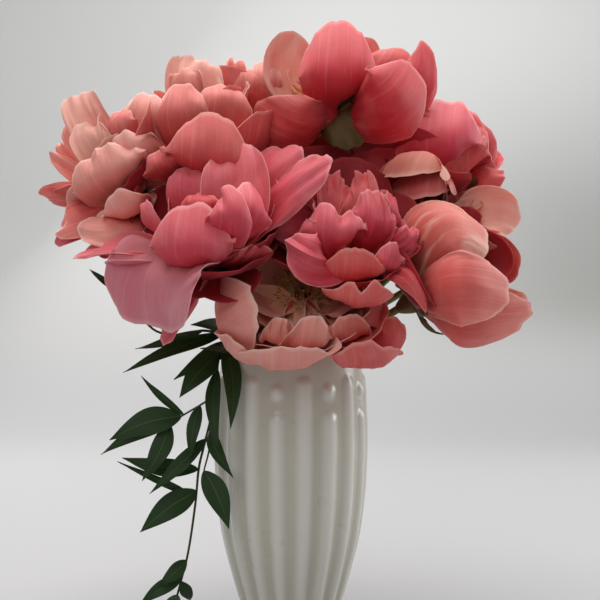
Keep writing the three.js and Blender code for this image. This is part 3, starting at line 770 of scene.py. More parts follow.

# faces: the way a flower's axis points from its seat on the CAD calyx. mouthTurn: where its stem crosses the
# vase's mouth, in degrees. Its petals run from the front ones, which show most, to the fillers behind them.
# The dark red fillers are painted shade in the gaps between and behind the blooms.
flowers = {
    "top_bloom": {
        "faces": (-0.2, -0.05, 0.97), "paint": "deepPink", "slot": "deep_pink_petal",
        "mouthTurn": 55, "frills": 0,
        "stamenLength": (0.030, 0.042), "stamenLean": -52,
        "sepals": [
            swept((0.005, -0.032, -0.006), (0.010, -0.038, -0.036), (0.1, -0.9, -0.3), 0.054, 66,
                  fullAt=0.4),
        ],
        "outer": [
            swept((-0.001, -0.063, 0.022), (0.003, -0.015, 0.081), (0, -1, 0.1), 0.076, 47, fullAt=0.5,
                  ruffle=0.0006, foot=0.5),
            swept((0.038, -0.076, -0.007), (0.066, -0.045, 0.032), (0.2, -0.95, -0.2), 0.078, 49,
                  fullAt=0.5, ruffle=0.0006),
            swept((-0.033, -0.056, -0.024), (-0.071, -0.048, -0.002), (-0.2, -0.8, -0.5), 0.062, 44,
                  paint="coral"),
            swept((0.067, -0.020, 0.022), (0.076, 0.001, 0.067), (0.4, -0.85, 0.2), 0.060, 44, drop=0.8,
                  power=1.5),
            swept((0.043, -0.005, 0.035), (0.058, 0.010, 0.062), (0.1, -0.9, 0.2), 0.056, 40,
                  paint="coral"),
            petal(-100, 92, 0.062, 0.090, 100, 50, paint="coral"),
            petal(-8, 50, 0.076, 0.090, 70, 48, paint="coral"),
            petal(40, 62, 0.080, 0.096, 80, 52, paint="shadowCrimson"),
            petal(0, 92, 0.070, 0.096, 80, 52, paint="shadowCrimson"),
            petal(25, 116, 0.080, 0.110, 30, 44, paint="shadowCrimson"),
            petal(-35, 114, 0.080, 0.110, 30, 44, paint="shadowCrimson"),
        ],
        "inner": [
            swept((-0.039, 0.008, 0.036), (-0.034, 0.008, 0.075), (-0.25, 0.95, 0.1), 0.060, 34,
                  paint="pale", ruffle=0.002),
            swept((-0.030, 0.006, 0.020), (-0.044, 0.004, 0.042), (-0.6, 0.3, 0.5), 0.020, 50,
                  paint="pale"),
            swept((0.012, 0.014, 0.050), (0.012, 0.020, 0.072), (0, 1, 0), 0.060, 40, paint="coral"),
            petal(150, 16, 0.050, 0.060, 60, 50, paint="coral"),
            petal(85, 24, 0.056, 0.066, 60, 48, paint="coral"),
        ],
    },
    "upper_left_bloom": {
        "faces": (-0.15, -0.15, 0.97), "paint": "salmon", "slot": "salmon_petal", "mouthTurn": 158,
        "outer": [
            swept((0.009, -0.080, -0.002), (0.009, -0.068, 0.042), (0, -0.9, -0.5), 0.086, 49, drop=0.54,
                  paint="coral"),
            swept((-0.016, -0.052, 0.038), (-0.015, -0.030, 0.074), (-0.2, -0.95, 0.2), 0.056, 47),
            swept((0.021, -0.048, 0.047), (0.018, -0.025, 0.075), (0.2, -0.95, 0.2), 0.056, 47),
            swept((-0.044, -0.042, 0.033), (-0.043, -0.025, 0.066), (-0.4, -0.9, 0.2), 0.050, 42,
                  paint="pale", ruffle=0.002),
            swept((-0.061, -0.040, 0.027), (-0.062, -0.030, 0.054), (-0.5, -0.85, 0.2), 0.036, 42),
            swept((-0.047, -0.052, 0.005), (-0.063, -0.052, 0.027), (-0.3, -0.9, -0.1), 0.052, 42,
                  ruffle=0.003, paint="pale"),
            swept((-0.021, -0.064, -0.003), (-0.029, -0.062, 0.014), (-0.1, -0.9, -0.3), 0.050, 42,
                  paint="coral"),
            petal(30, 50, 0.096, 0.084, 40, 40),
            petal(-45, 48, 0.090, 0.080, 40, 40, paint="coral"),
            petal(98, 56, 0.080, 0.088, 90, 52, paint="coral"),
            petal(-80, 66, 0.086, 0.084, 50, 42, paint="shadowCrimson"),
            petal(-120, 66, 0.080, 0.084, 50, 42, paint="coral"),
            petal(150, 98, 0.060, 0.084, 90, 50, paint="shadowCrimson"),
            petal(110, 86, 0.070, 0.084, 70, 50, paint="shadowCrimson"),
        ],
        "inner": [
            swept((-0.006, -0.008, 0.072), (-0.005, 0.010, 0.102), (0, 1, 0.2), 0.052, 30, ruffle=0.004,
                  paint="pale"),
            swept((-0.012, -0.028, 0.067), (-0.014, -0.020, 0.088), (-0.2, -0.9, 0.3), 0.034, 42,
                  paint="pale", ruffle=0.003, waves=8),
            petal(-80, 20, 0.080, 0.060, 40, 40, ruffle=0.003),
            petal(11, 36, 0.090, 0.066, 30, 38),
            petal(60, 34, 0.084, 0.066, 40, 40),
            petal(100, 30, 0.078, 0.066, 50, 48, paint="coral"),
            petal(165, 18, 0.070, 0.060, 50, 45, paint="pale", ruffle=0.004),
        ],
    },
    "far_left_bloom": {
        "faces": (-0.81, -0.1, 0.58), "paint": "pale", "slot": "salmon_petal", "mouthTurn": 190,
        "outer": [
            swept((-0.032, -0.020, 0.050), (-0.053, -0.005, 0.088), (0, 1, 0.1), 0.038, 30, drop=0.3,
                  power=3, paint="pale"),
            swept((-0.032, -0.030, 0.040), (-0.043, -0.020, 0.062), (0, 1, 0.1), 0.036, 34, paint="pale"),
            swept((-0.014, -0.060, 0.008), (-0.028, -0.053, 0.036), (-0.2, -0.9, 0.1), 0.078, 40,
                  drop=0.30, ruffle=0.004, waves=7),
            swept((0.002, -0.065, -0.019), (-0.009, -0.077, -0.002), (0.2, -0.8, -0.6), 0.046, 42,
                  paint="pale"),
            swept((-0.054, -0.030, 0.002), (-0.082, -0.025, 0.003), (-0.2, -0.8, -0.5), 0.026, 30,
                  **pointed, paint="salmon"),
            swept((-0.036, -0.045, -0.015), (-0.062, -0.040, -0.028), (-0.2, -0.8, 0.5), 0.046, 30,
                  ruffle=0.003, paint="salmon"),
            swept((-0.042, -0.047, -0.028), (-0.065, -0.040, -0.040), (-0.2, -0.8, 0.5), 0.028, 30,
                  **pointed, paint="pink"),
            swept((-0.010, -0.063, -0.024), (-0.039, -0.055, -0.024), (-0.1, -0.8, 0.6), 0.046, 34,
                  ruffle=0.003, paint="pale"),
            swept((-0.002, -0.048, 0.016), (-0.016, -0.052, 0.040), (0.1, -0.9, 0.2), 0.050, 37),
            petal(40, 62, 0.080, 0.086, 60, 40, paint="coral"),
            petal(150, 104, 0.060, 0.088, 40, 44, paint="shadowCrimson"),
            petal(0, 60, 0.080, 0.080, 50, 40),
            petal(-40, 66, 0.080, 0.080, 50, 40, paint="salmon"),
            petal(-80, 70, 0.080, 0.080, 50, 40),
            petal(-130, 60, 0.076, 0.070, 50, 40, paint="salmon"),
            petal(110, 80, 0.056, 0.080, 60, 44, paint="shadowCrimson"),
        ],
        "inner": [
            swept((-0.052, -0.012, 0.043), (-0.060, -0.005, 0.066), (-0.2, -0.9, 0.1), 0.022, 30,
                  **pointed),
            swept((-0.058, -0.005, 0.033), (-0.069, 0.002, 0.050), (-0.3, -0.9, 0.1), 0.022, 30,
                  **pointed),
            swept((-0.053, -0.015, 0.022), (-0.076, -0.010, 0.039), (-0.2, -0.9, 0.4), 0.024, 30,
                  **pointed, paint="pale"),
            petal(42, 30, 0.074, 0.056, 20, 30, paint="pale"),
            petal(-39, 25, 0.090, 0.040, 10, 32, **pointed),
            petal(-90, 24, 0.084, 0.044, 10, 32, **pointed),
            petal(150, 40, 0.060, 0.060, 40, 40, paint="pale", ruffle=0.003),
            petal(90, 44, 0.062, 0.060, 40, 40, ruffle=0.003),
            petal(-140, 30, 0.080, 0.060, 30, 40),
            petal(180, 34, 0.070, 0.056, 30, 40, paint="coral"),
        ],
    },
    "centre_left_bloom": {
        "faces": (-0.12, -0.4, 0.9), "paint": "deepPink", "slot": "deep_pink_petal", "mouthTurn": 232,
        "outer": [
            swept((0.018, -0.034, 0.050), (0.013, -0.008, 0.093), (0, 1, 0.2), 0.056, 30, crease=0.002,
                  notch=0.04, notchAt=0.2, paint="pink"),
            swept((-0.013, -0.078, 0.003), (-0.012, -0.062, 0.044), (-0.1, -0.9, -0.3), 0.076, 50,
                  paint="pink", ruffle=0.0006),
            swept((-0.043, -0.040, 0.023), (-0.053, -0.035, 0.046), (-0.8, -0.5, -0.2), 0.030, 34,
                  paint="pink"),
            swept((-0.067, -0.025, 0.013), (-0.112, -0.008, 0.005), (-0.1, 0.6, -0.8), 0.032, 30,
                  paint="pink", ruffle=0.002),
            swept((-0.057, -0.030, 0.005), (-0.077, -0.025, 0.001), (-0.1, 0.6, -0.8), 0.036, 34,
                  paint="mauve", ruffle=0.003),
            swept((-0.036, -0.052, -0.005), (-0.043, -0.044, -0.052), (0.3, 0.7, -0.6), 0.092, 26,
                  drop=0.30, ruffle=0.004, crease=0.002, paint="mauve", fullAt=0.5),
            swept((-0.019, -0.022, -0.029), (-0.041, -0.016, -0.064), (0.5, 0.6, -0.3), 0.026, 34,
                  paint="pink"),
            swept((0.025, -0.030, -0.004), (0.040, -0.042, 0.013), (0.5, -0.5, -0.7), 0.056, 42),
            petal(52, 40, 0.080, 0.080, 60, 45),
            petal(-50, 48, 0.080, 0.084, 60, 45, paint="shadowCrimson"),
            petal(104, 60, 0.056, 0.084, 70, 48, paint="shadowCrimson"),
            petal(140, 76, 0.052, 0.088, 70, 45, paint="shadowCrimson"),
            petal(-20, 62, 0.086, 0.088, 50, 42, paint="shadowCrimson"),
            petal(160, 104, 0.052, 0.070, 40, 44, paint="shadowCrimson"),
        ],
        "inner": [
            swept((0.015, -0.080, 0.025), (0.011, -0.058, 0.054), (0, -1, -0.3), 0.040, 44, drop=0.75,
                  paint="pink"),
            swept((0.032, -0.065, 0.028), (0.030, -0.040, 0.059), (0.5, -0.85, -0.1), 0.042, 45,
                  paint="pink"),
            swept((-0.010, -0.048, 0.035), (-0.011, -0.038, 0.053), (-0.2, -0.9, 0.3), 0.042, 45),
            swept((-0.021, -0.025, 0.053), (-0.020, -0.010, 0.078), (-0.2, -1, 0.1), 0.042, 37,
                  paint="pink", ruffle=0.002),
            swept((0.046, -0.024, 0.050), (0.091, -0.004, 0.087), (-0.3, -0.8, 0.5), 0.042, 37,
                  paint="pink", drop=0.45, ruffle=0.002),
            swept((0.034, -0.006, 0.068), (0.066, 0.010, 0.098), (-0.4, -0.8, 0.4), 0.052, 37,
                  paint="pink", drop=0.45, ruffle=0.003),
            petal(-80, 24, 0.060, 0.056, 50, 45),
        ],
    },
    "centre_bloom": {
        "faces": (0, -0.6, 0.8), "paint": "pink", "slot": "coral_petal", "mouthTurn": -50,
        "outer": [
            swept((0.006, -0.060, -0.037), (0.009, -0.087, -0.017), (0, -0.3, -1), 0.062, 42, notch=0.12,
                  ruffle=0.002, drop=0.45, paint="coral"),
            swept((0.003, -0.053, -0.019), (0.004, -0.076, 0.008), (0, -0.3, -1), 0.058, 45,
                  paint="coral"),
            swept((-0.024, -0.067, -0.001), (-0.048, -0.060, 0.013), (-0.3, -0.9, 0.2), 0.044, 42,
                  crease=0.003),
            swept((0.029, -0.050, -0.008), (0.034, -0.052, 0.012), (0.4, -0.9, -0.2), 0.036, 42,
                  ruffle=0.003),
            swept((-0.038, -0.040, 0.028), (-0.065, -0.034, 0.039), (-0.4, -0.8, 0.4), 0.040, 39,
                  ruffle=0.003, crease=0.003),
            swept((-0.038, -0.018, 0.046), (-0.052, -0.004, 0.060), (-0.4, -0.8, 0.4), 0.044, 39,
                  ruffle=0.003),
            swept((0.043, -0.040, 0.012), (0.050, -0.034, 0.024), (0.5, -0.8, 0.1), 0.030, 39,
                  ruffle=0.005, waves=9),
            swept((0.041, -0.050, -0.010), (0.060, -0.050, -0.042), (0.2, -0.9, 0.3), 0.024, 34,
                  ruffle=0.002, drop=0.8, power=1.4, paint="deepPink"),
            petal(4, 50, 0.088, 0.084, 40, 44, ruffle=0.003, paint="shadowCrimson"),
            petal(56, 56, 0.070, 0.084, 50, 44, paint="shadowCrimson"),
            petal(100, 60, 0.066, 0.080, 60, 46, paint="shadowCrimson"),
            petal(-72, 60, 0.076, 0.080, 40, 44, paint="shadowCrimson"),
            petal(-120, 66, 0.070, 0.080, 60, 46, paint="shadowCrimson"),
            petal(150, 66, 0.060, 0.080, 80, 46, paint="shadowCrimson"),
            petal(26, 62, 0.112, 0.094, 30, 40, paint="shadowCrimson"),
            petal(-14, 64, 0.114, 0.094, 30, 40, paint="shadowCrimson"),
        ],
        "inner": [
            swept((-0.011, -0.060, 0.015), (-0.010, -0.047, 0.044), (0, -1, 0.1), 0.062, 47, notch=0.12,
                  notchAt=0.1, drop=0.45, ruffle=0.004, waves=7),
            swept((0.020, -0.050, 0.027), (0.020, -0.030, 0.056), (0.2, -1, 0.2), 0.044, 47, ruffle=0.005,
                  waves=8, crease=0.003),
            swept((0.033, -0.034, 0.031), (0.035, -0.010, 0.055), (0.6, -0.8, 0.2), 0.036, 42,
                  ruffle=0.005, waves=8),
            swept((-0.009, -0.015, 0.038), (-0.013, 0.002, 0.074), (-0.2, 0.7, 0.3), 0.036, 37,
                  ruffle=0.006, waves=9, paint="deepPink"),
            swept((0.011, -0.015, 0.038), (0.014, 0.004, 0.075), (0.2, 0.7, 0.3), 0.036, 37, ruffle=0.006,
                  waves=9, paint="deepPink"),
            petal(-100, 22, 0.066, 0.050, 40, 45, ruffle=0.004),
            petal(80, 24, 0.066, 0.046, 40, 45, ruffle=0.004),
            petal(-60, 36, 0.072, 0.050, 40, 45, ruffle=0.004, paint="deepPink"),
            petal(-138, 30, 0.064, 0.050, 80, 50, ruffle=0.003),
        ],
    },
    "front_bloom": {
        "faces": (0, -0.78, 0.62), "paint": "pale", "slot": "peach_petal", "mouthTurn": 280, "frills": 0,
        "outer": [
            swept((-0.064, -0.038, -0.020), (-0.036, -0.076, -0.002), (-0.9, -0.3, -0.3), 0.080, 47,
                  drop=0.45),
            swept((-0.010, -0.050, -0.053), (-0.011, -0.088, -0.036), (0, -0.3, -1), 0.092, 42,
                  ruffle=0.002),
            swept((0.045, -0.035, -0.055), (0.045, -0.072, -0.034), (0.1, -0.3, -1), 0.072, 42,
                  paint="coral", ruffle=0.002),
            swept((0.058, -0.030, -0.032), (0.068, -0.028, -0.015), (0.4, -0.8, -0.2), 0.056, 42,
                  paint="coral", ruffle=0.003),
            swept((-0.046, -0.036, -0.044), (-0.050, -0.066, -0.034), (-0.6, -0.4, -0.8), 0.060, 42),
            petal(-80, 58, 0.066, 0.084, 80, 48, paint="coral"),
            petal(80, 58, 0.066, 0.084, 80, 48, paint="coral"),
            petal(0, 60, 0.064, 0.080, 50, 45, paint="coral"),
            petal(40, 62, 0.064, 0.080, 50, 45, paint="coral"),
            petal(-40, 62, 0.064, 0.080, 50, 45, paint="coral"),
            petal(130, 74, 0.074, 0.084, 100, 50, paint="coral"),
            petal(-156, 70, 0.070, 0.090, 90, 50),
            petal(166, 70, 0.068, 0.090, 90, 50),
        ],
        "inner": [
            swept((0.002, -0.055, -0.040), (0.010, -0.078, -0.014), (0.1, -0.4, -1), 0.046, 44,
                  ruffle=0.004),
            swept((-0.016, -0.050, -0.037), (-0.014, -0.068, -0.016), (-0.1, -0.4, -1), 0.040, 42,
                  ruffle=0.006, waves=8),
            swept((0.030, -0.036, -0.037), (0.034, -0.060, -0.013), (0.1, -0.3, -1), 0.050, 40,
                  ruffle=0.004, paint="salmon"),
            petal(-96, 54, 0.056, 0.076, 80, 44, foot=0.5, paint="peach"),
            petal(92, 56, 0.056, 0.076, 80, 44, foot=0.5, paint="peach"),
            petal(-40, 56, 0.046, 0.070, 60, 44, foot=0.5, paint="peach"),
            petal(36, 56, 0.046, 0.070, 60, 44, foot=0.5, paint="peach"),
            petal(180, 66, 0.060, 0.080, 90, 44, foot=0.5, paint="peach"),
            petal(-136, 64, 0.062, 0.080, 90, 44, foot=0.5, paint="peach"),
            petal(136, 64, 0.062, 0.080, 90, 44, foot=0.5, paint="peach"),
        ],
    },
    "right_upper_bloom": {
        "faces": (0.35, 0.1, 0.93), "paint": "pink", "slot": "deep_pink_petal", "mouthTurn": 30,
        "outer": [
            swept((-0.018, -0.066, 0.029), (-0.008, -0.025, 0.078), (-0.1, -0.95, 0.2), 0.094, 52,
                  drop=0.45, notch=0.07, notchAt=0.6, ruffle=0.003, waves=7),
            swept((0.016, -0.048, 0.029), (0.022, -0.015, 0.062), (0.6, -0.75, 0.1), 0.066, 47,
                  ruffle=0.004, waves=7, paint="coral"),
            swept((0.020, -0.024, 0.010), (0.044, -0.024, 0.012), (0.3, -0.8, 0.5), 0.040, 37,
                  ruffle=0.004, paint="coral"),
            swept((0.017, -0.028, -0.002), (0.039, -0.029, -0.003), (0.3, -0.8, 0.5), 0.036, 37,
                  ruffle=0.004),
            petal(46, 14, 0.068, 0.084, 70, 48),
            petal(110, 20, 0.056, 0.076, 70, 48),
            petal(-60, 74, 0.090, 0.106, 90, 60, paint="shadowCrimson"),
            petal(-34, 84, 0.108, 0.112, 80, 56, paint="shadowCrimson"),
            petal(0, 60, 0.080, 0.096, 70, 48, paint="shadowCrimson"),
            petal(-82, 96, 0.080, 0.110, 100, 60, paint="shadowCrimson"),
            petal(-50, 56, 0.088, 0.100, 90, 58, paint="deepPink"),
            petal(80, 36, 0.056, 0.080, 70, 48),
        ],
        "inner": [
            petal(-70, 14, 0.070, 0.080, 90, 60),
            petal(-110, 10, 0.062, 0.070, 80, 58),
            petal(10, 12, 0.062, 0.070, 60, 48),
            petal(170, 14, 0.050, 0.060, 70, 50),
            petal(90, 10, 0.056, 0.066, 60, 48),
        ],
    },
    "right_lower_bloom": {
        "faces": (0.85, -0.15, 0.5), "paint": "salmon", "slot": "salmon_petal", "mouthTurn": -22,
        "outer": [
            swept((0.014, -0.043, 0.056), (0.060, -0.013, 0.050), (-0.15, -0.85, 0.5), 0.092, 49,
                  paint="striped"),
            swept((0.024, -0.074, 0.010), (0.072, -0.040, 0.004), (-0.05, -0.95, 0.1), 0.066, 44,
                  ruffle=0.0006),
            swept((0.036, -0.048, -0.018), (0.096, -0.010, -0.016), (0, -0.8, -0.4), 0.062, 40,
                  fullAt=0.8),
            swept((0.060, 0.030, 0.034), (0.082, 0.018, 0.014), (0.3, 0.8, 0.4), 0.072, 42,
                  paint="coral"),
            swept((0.053, 0.015, 0.038), (0.070, 0.008, 0.016), (0.3, 0.8, 0.4), 0.060, 42,
                  paint="shadowCrimson"),
            petal(10, 30, 0.070, 0.090, 90, 52),
            petal(-76, 72, 0.050, 0.094, 110, 60, paint="shadowCrimson"),
            petal(100, 46, 0.080, 0.086, 80, 48, paint="coral"),
            petal(-170, 50, 0.050, 0.080, 90, 56, paint="coral"),
            petal(-6, 70, 0.060, 0.088, 80, 50, paint="shadowCrimson"),
            petal(130, 50, 0.070, 0.088, 80, 50, paint="coral"),
        ],
        "inner": [
            swept((0.053, -0.014, -0.010), (0.094, -0.004, -0.004), (0, -0.6, -0.6), 0.050, 37,
                  paint="peach"),
            petal(62, 16, 0.086, 0.070, 70, 46, paint="shadowCrimson"),
            petal(-90, 12, 0.064, 0.070, 80, 54),
            petal(0, 16, 0.070, 0.072, 70, 50),
            petal(-175, 20, 0.070, 0.064, 70, 50),
        ],
    },
    "right_middle_bloom": {
        "faces": (0.35, -0.25, 0.9), "paint": "salmon", "slot": "peach_petal", "mouthTurn": 5,
        "outer": [
            swept((-0.024, -0.024, 0.071), (-0.042, -0.052, 0.046), (0, 0, 1), 0.096, 84, paint="peach",
                  ruffle=0.0008),
            swept((0.035, -0.020, 0.014), (0.063, -0.025, 0.006), (0.1, 0.9, -0.4), 0.050, 42,
                  paint="pale", edge=0.006, ruffle=0.002),
            petal(42, 52, 0.066, 0.064, 60, 45),
            petal(0, 66, 0.066, 0.084, 70, 48, paint="shadowCrimson"),
            petal(104, 52, 0.054, 0.064, 50, 44),
            petal(-40, 70, 0.064, 0.096, 80, 50, paint="shadowCrimson"),
            petal(176, 60, 0.050, 0.080, 70, 48, paint="coral"),
            petal(-104, 84, 0.056, 0.084, 90, 54, paint="shadowCrimson"),
            petal(150, 74, 0.056, 0.080, 60, 48, paint="coral"),
        ],
        "inner": [
            swept((-0.018, -0.018, 0.058), (-0.028, -0.048, 0.027), (0, 0, 1), 0.086, 80, paint="coral",
                  ruffle=0.0008),
            petal(0, 20, 0.050, 0.064, paint="shadowCrimson"),
            petal(120, 24, 0.044, 0.050),
            petal(-120, 54, 0.040, 0.060, 70, 54, paint="shadowCrimson"),
            petal(-170, 36, 0.040, 0.046, 80, 50, paint="shadowCrimson"),
        ],
    },
    "back_upper_bloom": {
        "faces": (-0.15, 0.4, 0.9), "paint": "salmon", "slot": "coral_petal", "mouthTurn": 110,
        "outer": [
            swept((0.002, -0.045, 0.038), (0.002, -0.035, 0.066), (0, -0.9, 0.2), 0.042, 37,
                  paint="pale"),
            swept((-0.008, -0.048, 0.032), (-0.007, -0.040, 0.057), (-0.1, -0.9, 0.2), 0.038, 37,
                  paint="salmon"),
            petal(-140, 34, 0.070, 0.070, 40, 44, ruffle=0.002),
            petal(-87, 50, 0.074, 0.078, 40, 44),
            petal(-122, 62, 0.080, 0.084, 50, 44),
            petal(124, 52, 0.080, 0.084, 60, 45),
            petal(168, 66, 0.082, 0.090, 70, 45),
            petal(-30, 62, 0.080, 0.084, 50, 42),
            swept((0.012, -0.050, -0.027), (0.024, -0.112, -0.046), (0.6, -0.1, 0.7), 0.096, 40,
                  grid="plain", paint="shadowCrimson"),
            petal(88, 60, 0.080, 0.080, 50, 42),
            petal(-158, 84, 0.088, 0.090, 60, 42, paint="shadowCrimson"),
            petal(140, 82, 0.090, 0.096, 60, 42, paint="shadowCrimson"),
            petal(124, 108, 0.090, 0.100, 60, 46, paint="shadowCrimson"),
            petal(150, 112, 0.090, 0.100, 60, 46, paint="shadowCrimson"),
        ],
        "inner": [
            swept((-0.024, -0.038, 0.043), (-0.026, -0.034, 0.068), (-0.1, -0.9, 0.2), 0.024, 34,
                  drop=0.75, power=1.4, paint="salmon"),
            swept((-0.016, -0.040, 0.043), (-0.016, -0.036, 0.067), (0, -0.9, 0.2), 0.026, 34, drop=0.75,
                  power=1.4, paint="salmon"),
            petal(158, 26, 0.070, 0.036, 10, 34, drop=0.90, power=1.3),
            petal(-40, 24, 0.060, 0.060),
            petal(70, 26, 0.060, 0.060),
            petal(-100, 26, 0.060, 0.056),
        ],
    },
    "back_lower_bloom": {
        "faces": (0.05, 0.9, 0.45), "paint": "coral", "slot": "coral_petal", "mouthTurn": 84,
        "outer": [
            *[petal(turn, 60, 0.085, 0.086, 50, 45) for turn in (0, 72, 144, -144, -72)],
            *[petal(turn, 48, 0.078, 0.080, 60, 48, paint="salmon") for turn in (36, 108, 180, -108, -36)],
            petal(-26, 88, 0.126, 0.104, 20, 40, paint="shadowCrimson"),
            petal(2, 84, 0.118, 0.104, 20, 40, paint="shadowCrimson"),
            petal(30, 86, 0.110, 0.104, 20, 40, paint="shadowCrimson"),
        ],
        "inner": [petal(turn, 24, 0.062, 0.056, ruffle=0.003) for turn in (30, 100, 170, -120, -50)],
    },
}

# One stamen is modelled a unit tall, then copied into every tuft.
stamens = {
    "count": 84,
    "length": (0.013, 0.021),
    "width": 0.0145,
    "spread": 58,               # how far the outermost lean, in degrees
    "spreadVaries": (0.7, 1.2),
    "turn": 137.5,              # from each to the next
    "ring": (0.0045, 0.0130),
    "rise": 0.0035,
    "thread": {"radius1": 0.03, "radius2": 0.02, "depth": 0.85, "location": (0, 0, 0.42)},
    "anther": {"radius": 0.07, "location": (0, 0, 0.88)},
    "antherStretch": (0.8, 0.8, 1.9),
}


def modelStamen():
    bpy.ops.object.select_all(action="DESELECT")
    bpy.ops.mesh.primitive_cone_add(vertices=5, **stamens["thread"])
    thread = bpy.context.object
    bpy.ops.mesh.primitive_uv_sphere_add(segments=6, ring_count=5, **stamens["anther"])
    bpy.context.object.scale = stamens["antherStretch"]
    bpy.ops.object.transform_apply(location=True, rotation=True, scale=True)
    thread.select_set(True)
    bpy.context.view_layer.objects.active = thread
    bpy.ops.object.transform_apply(location=True, rotation=True, scale=True)
    bpy.ops.object.join()
    mesh = thread.data.copy()
    uvs = mesh.uv_layers.active
    for loop in mesh.loops:
        uvs.uv[loop.index].vector = (0.5, mesh.vertices[loop.vertex_index].co.z)
    bpy.data.objects.remove(thread)
    return mesh


def addTuft(name, matrix, stamenMesh, draw, length, tilt):
    tuft = bmesh.new()
    tilted = Matrix.Rotation(math.radians(tilt), 4, "Y")
    inner, outer = stamens["ring"]
    width = stamens["width"]
    for k in range(stamens["count"]):
        turned = Matrix.Rotation(math.radians(stamens["turn"] * k), 4, "Z")
        share = math.sqrt((k + 0.5) / stamens["count"])
        height = draw.uniform(*length)
        lean = math.radians(stamens["spread"] * share * draw.uniform(*stamens["spreadVaries"]))
        start = len(tuft.verts)
        tuft.from_mesh(stamenMesh)
        tuft.verts.ensure_lookup_table()
        place = (tilted @ turned @ Matrix.Translation((inner + (outer - inner) * share, 0, stamens["rise"]))
                 @ Matrix.Rotation(lean, 4, "Y") @ Matrix.Diagonal((width, width, height, 1)))
        bmesh.ops.transform(tuft, matrix=matrix @ place, verts=tuft.verts[start:])
    mesh = bpy.data.meshes.new(name + "_tuft")
    tuft.to_mesh(mesh)
    tuft.free()
    piece = bpy.data.objects.new(name + "_tuft", mesh)
    bpy.context.scene.collection.objects.link(piece)
    finishPiece(piece, "threads", "stamens", name)


calyxShape = {
    "outline": [(0.0032, -0.016), (0.0046, -0.0145), (0.0066, -0.011), (0.0086, -0.007), (0.0098, -0.003),
                (0.0094, 0.0), (0.0072, 0.0035), (0.004, 0.0052)],
    "sides": 24,
    "ridge": 0.05,            # one shallow ridge for each sepal
    "sepals": 5,
    "sepalStrays": 14,        # either way round the flower, in degrees
    "sepalLean": (58, 84),
    "sepalLength": (0.024, 0.036),
    "sepalWidth": (0.020, 0.028),
    "sepalBow": (20, 60),
    "sepalCup": 50,
    "sepalEdge": {"drop": 0.8, "power": 1.3, "ruffle": 0.0008},
    "sepalGrid": (8, 10),
    "sepalThickness": 0.0008,
    "sepalBelow": 0.004,      # under the petals' feet
}


def addCalyx(name, matrix, draw, shownSepals):
    green = calyxShape
    outline = smoothLine([Vector((r, z, 0)) for r, z in green["outline"]], 4)
    rows = [Vector((0, outline[0].y, 0)), *outline, Vector((0, outline[-1].y + 0.0003, 0))]
    cup = addSheet(name + "_green", green["sides"], len(rows) - 1)

    def place(u, v):
        row = rows[round(v * (len(rows) - 1))]
        angle = u * math.pi
        radius = row.x * (1 + green["ridge"] * math.cos(green["sepals"] * angle))
        return matrix @ Vector((radius * math.cos(angle), radius * math.sin(angle), row.y))

    bendSheet(cup, place)
    weld(cup)
    pieces = [cup]
    below = Vector((0, 0, green["sepalBelow"]))
    stray = green["sepalStrays"]
    for k in range(green["sepals"]):
        shape = petal(360 / green["sepals"] * k + draw.uniform(-stray, stray),
                      draw.uniform(*green["sepalLean"]), draw.uniform(*green["sepalLength"]),
                      draw.uniform(*green["sepalWidth"]), draw.uniform(*green["sepalBow"]),
                      green["sepalCup"], **green["sepalEdge"])
        surface = petalSurface(shape, "outer", draw.uniform(0, 9))
        sepal = addSheet(name + "_sepal", *green["sepalGrid"])
        bendSheet(sepal, lambda u, v: matrix @ (surface(u, v) - below))
        thicken(sepal, green["sepalThickness"])
        pieces.append(sepal)
    pieces += [addPetal(name + "_sepal", matrix, shape, "outer", k) for k, shape in enumerate(shownSepals)]
    finishPiece(joinPieces(pieces, name + "_green"), "calyx", "calyx", name)


# The seed pods in the middle of the stamens.
carpels = {
    "count": 3,
    "turn": 20,
    "lean": 12,
    "aside": 0.0026,
    "foot": 0.004,
    "height": 0.0135,
    "sides": 10,
    "radii": [0.0016, 0.0024, 0.0027, 0.0026, 0.0022, 0.0016, 0.0011, 0.0009, 0.0013],  # foot to stigma
}


def addCarpels(name, matrix, node):
    radii = carpels["radii"]
    last = len(radii) - 1
    pods = []
    for k in range(carpels["count"]):
        turn = math.radians(360 / carpels["count"] * k + carpels["turn"])
        leaning = Matrix.Rotation(turn, 4, "Z") @ Matrix.Rotation(math.radians(carpels["lean"]), 4, "Y")
        heights = [carpels["foot"] + carpels["height"] * row / last for row in range(last + 1)]
        line = [matrix @ (leaning @ Vector((carpels["aside"], 0, height))) for height in heights]
        pods.append(addTube(name + "_part", line, lambda share: radii[round(share * last)], carpels["sides"]))
    finishPiece(joinPieces(pods, name), "carpel", "calyx", node)


# A stem stands in its ring on the vase's floor, leans on the mouth and swings out to its flower.
stemShape = {
    "radius": 0.003,
    "flare": 0.12,           # it thickens by this share under the calyx
    "sides": 14,
    "footRing": 0.024,
    "footLevel": 0.0093,
    "twist": 50,             # from mouth to foot, in degrees
    "mouthRing": 0.042,
    "mouthDepth": 0.012,
    "rimRing": 0.045,
    "rimRise": 0.011,
    "neck": 0.026,
    "calyxLength": 0.016,
}


def onRing(radius, turn, height):
    return Vector((radius * math.cos(math.radians(turn)), radius * math.sin(math.radians(turn)), height))


def stemFoot(mouthTurn):
    return onRing(stemShape["footRing"], mouthTurn + stemShape["twist"], stemShape["footLevel"])


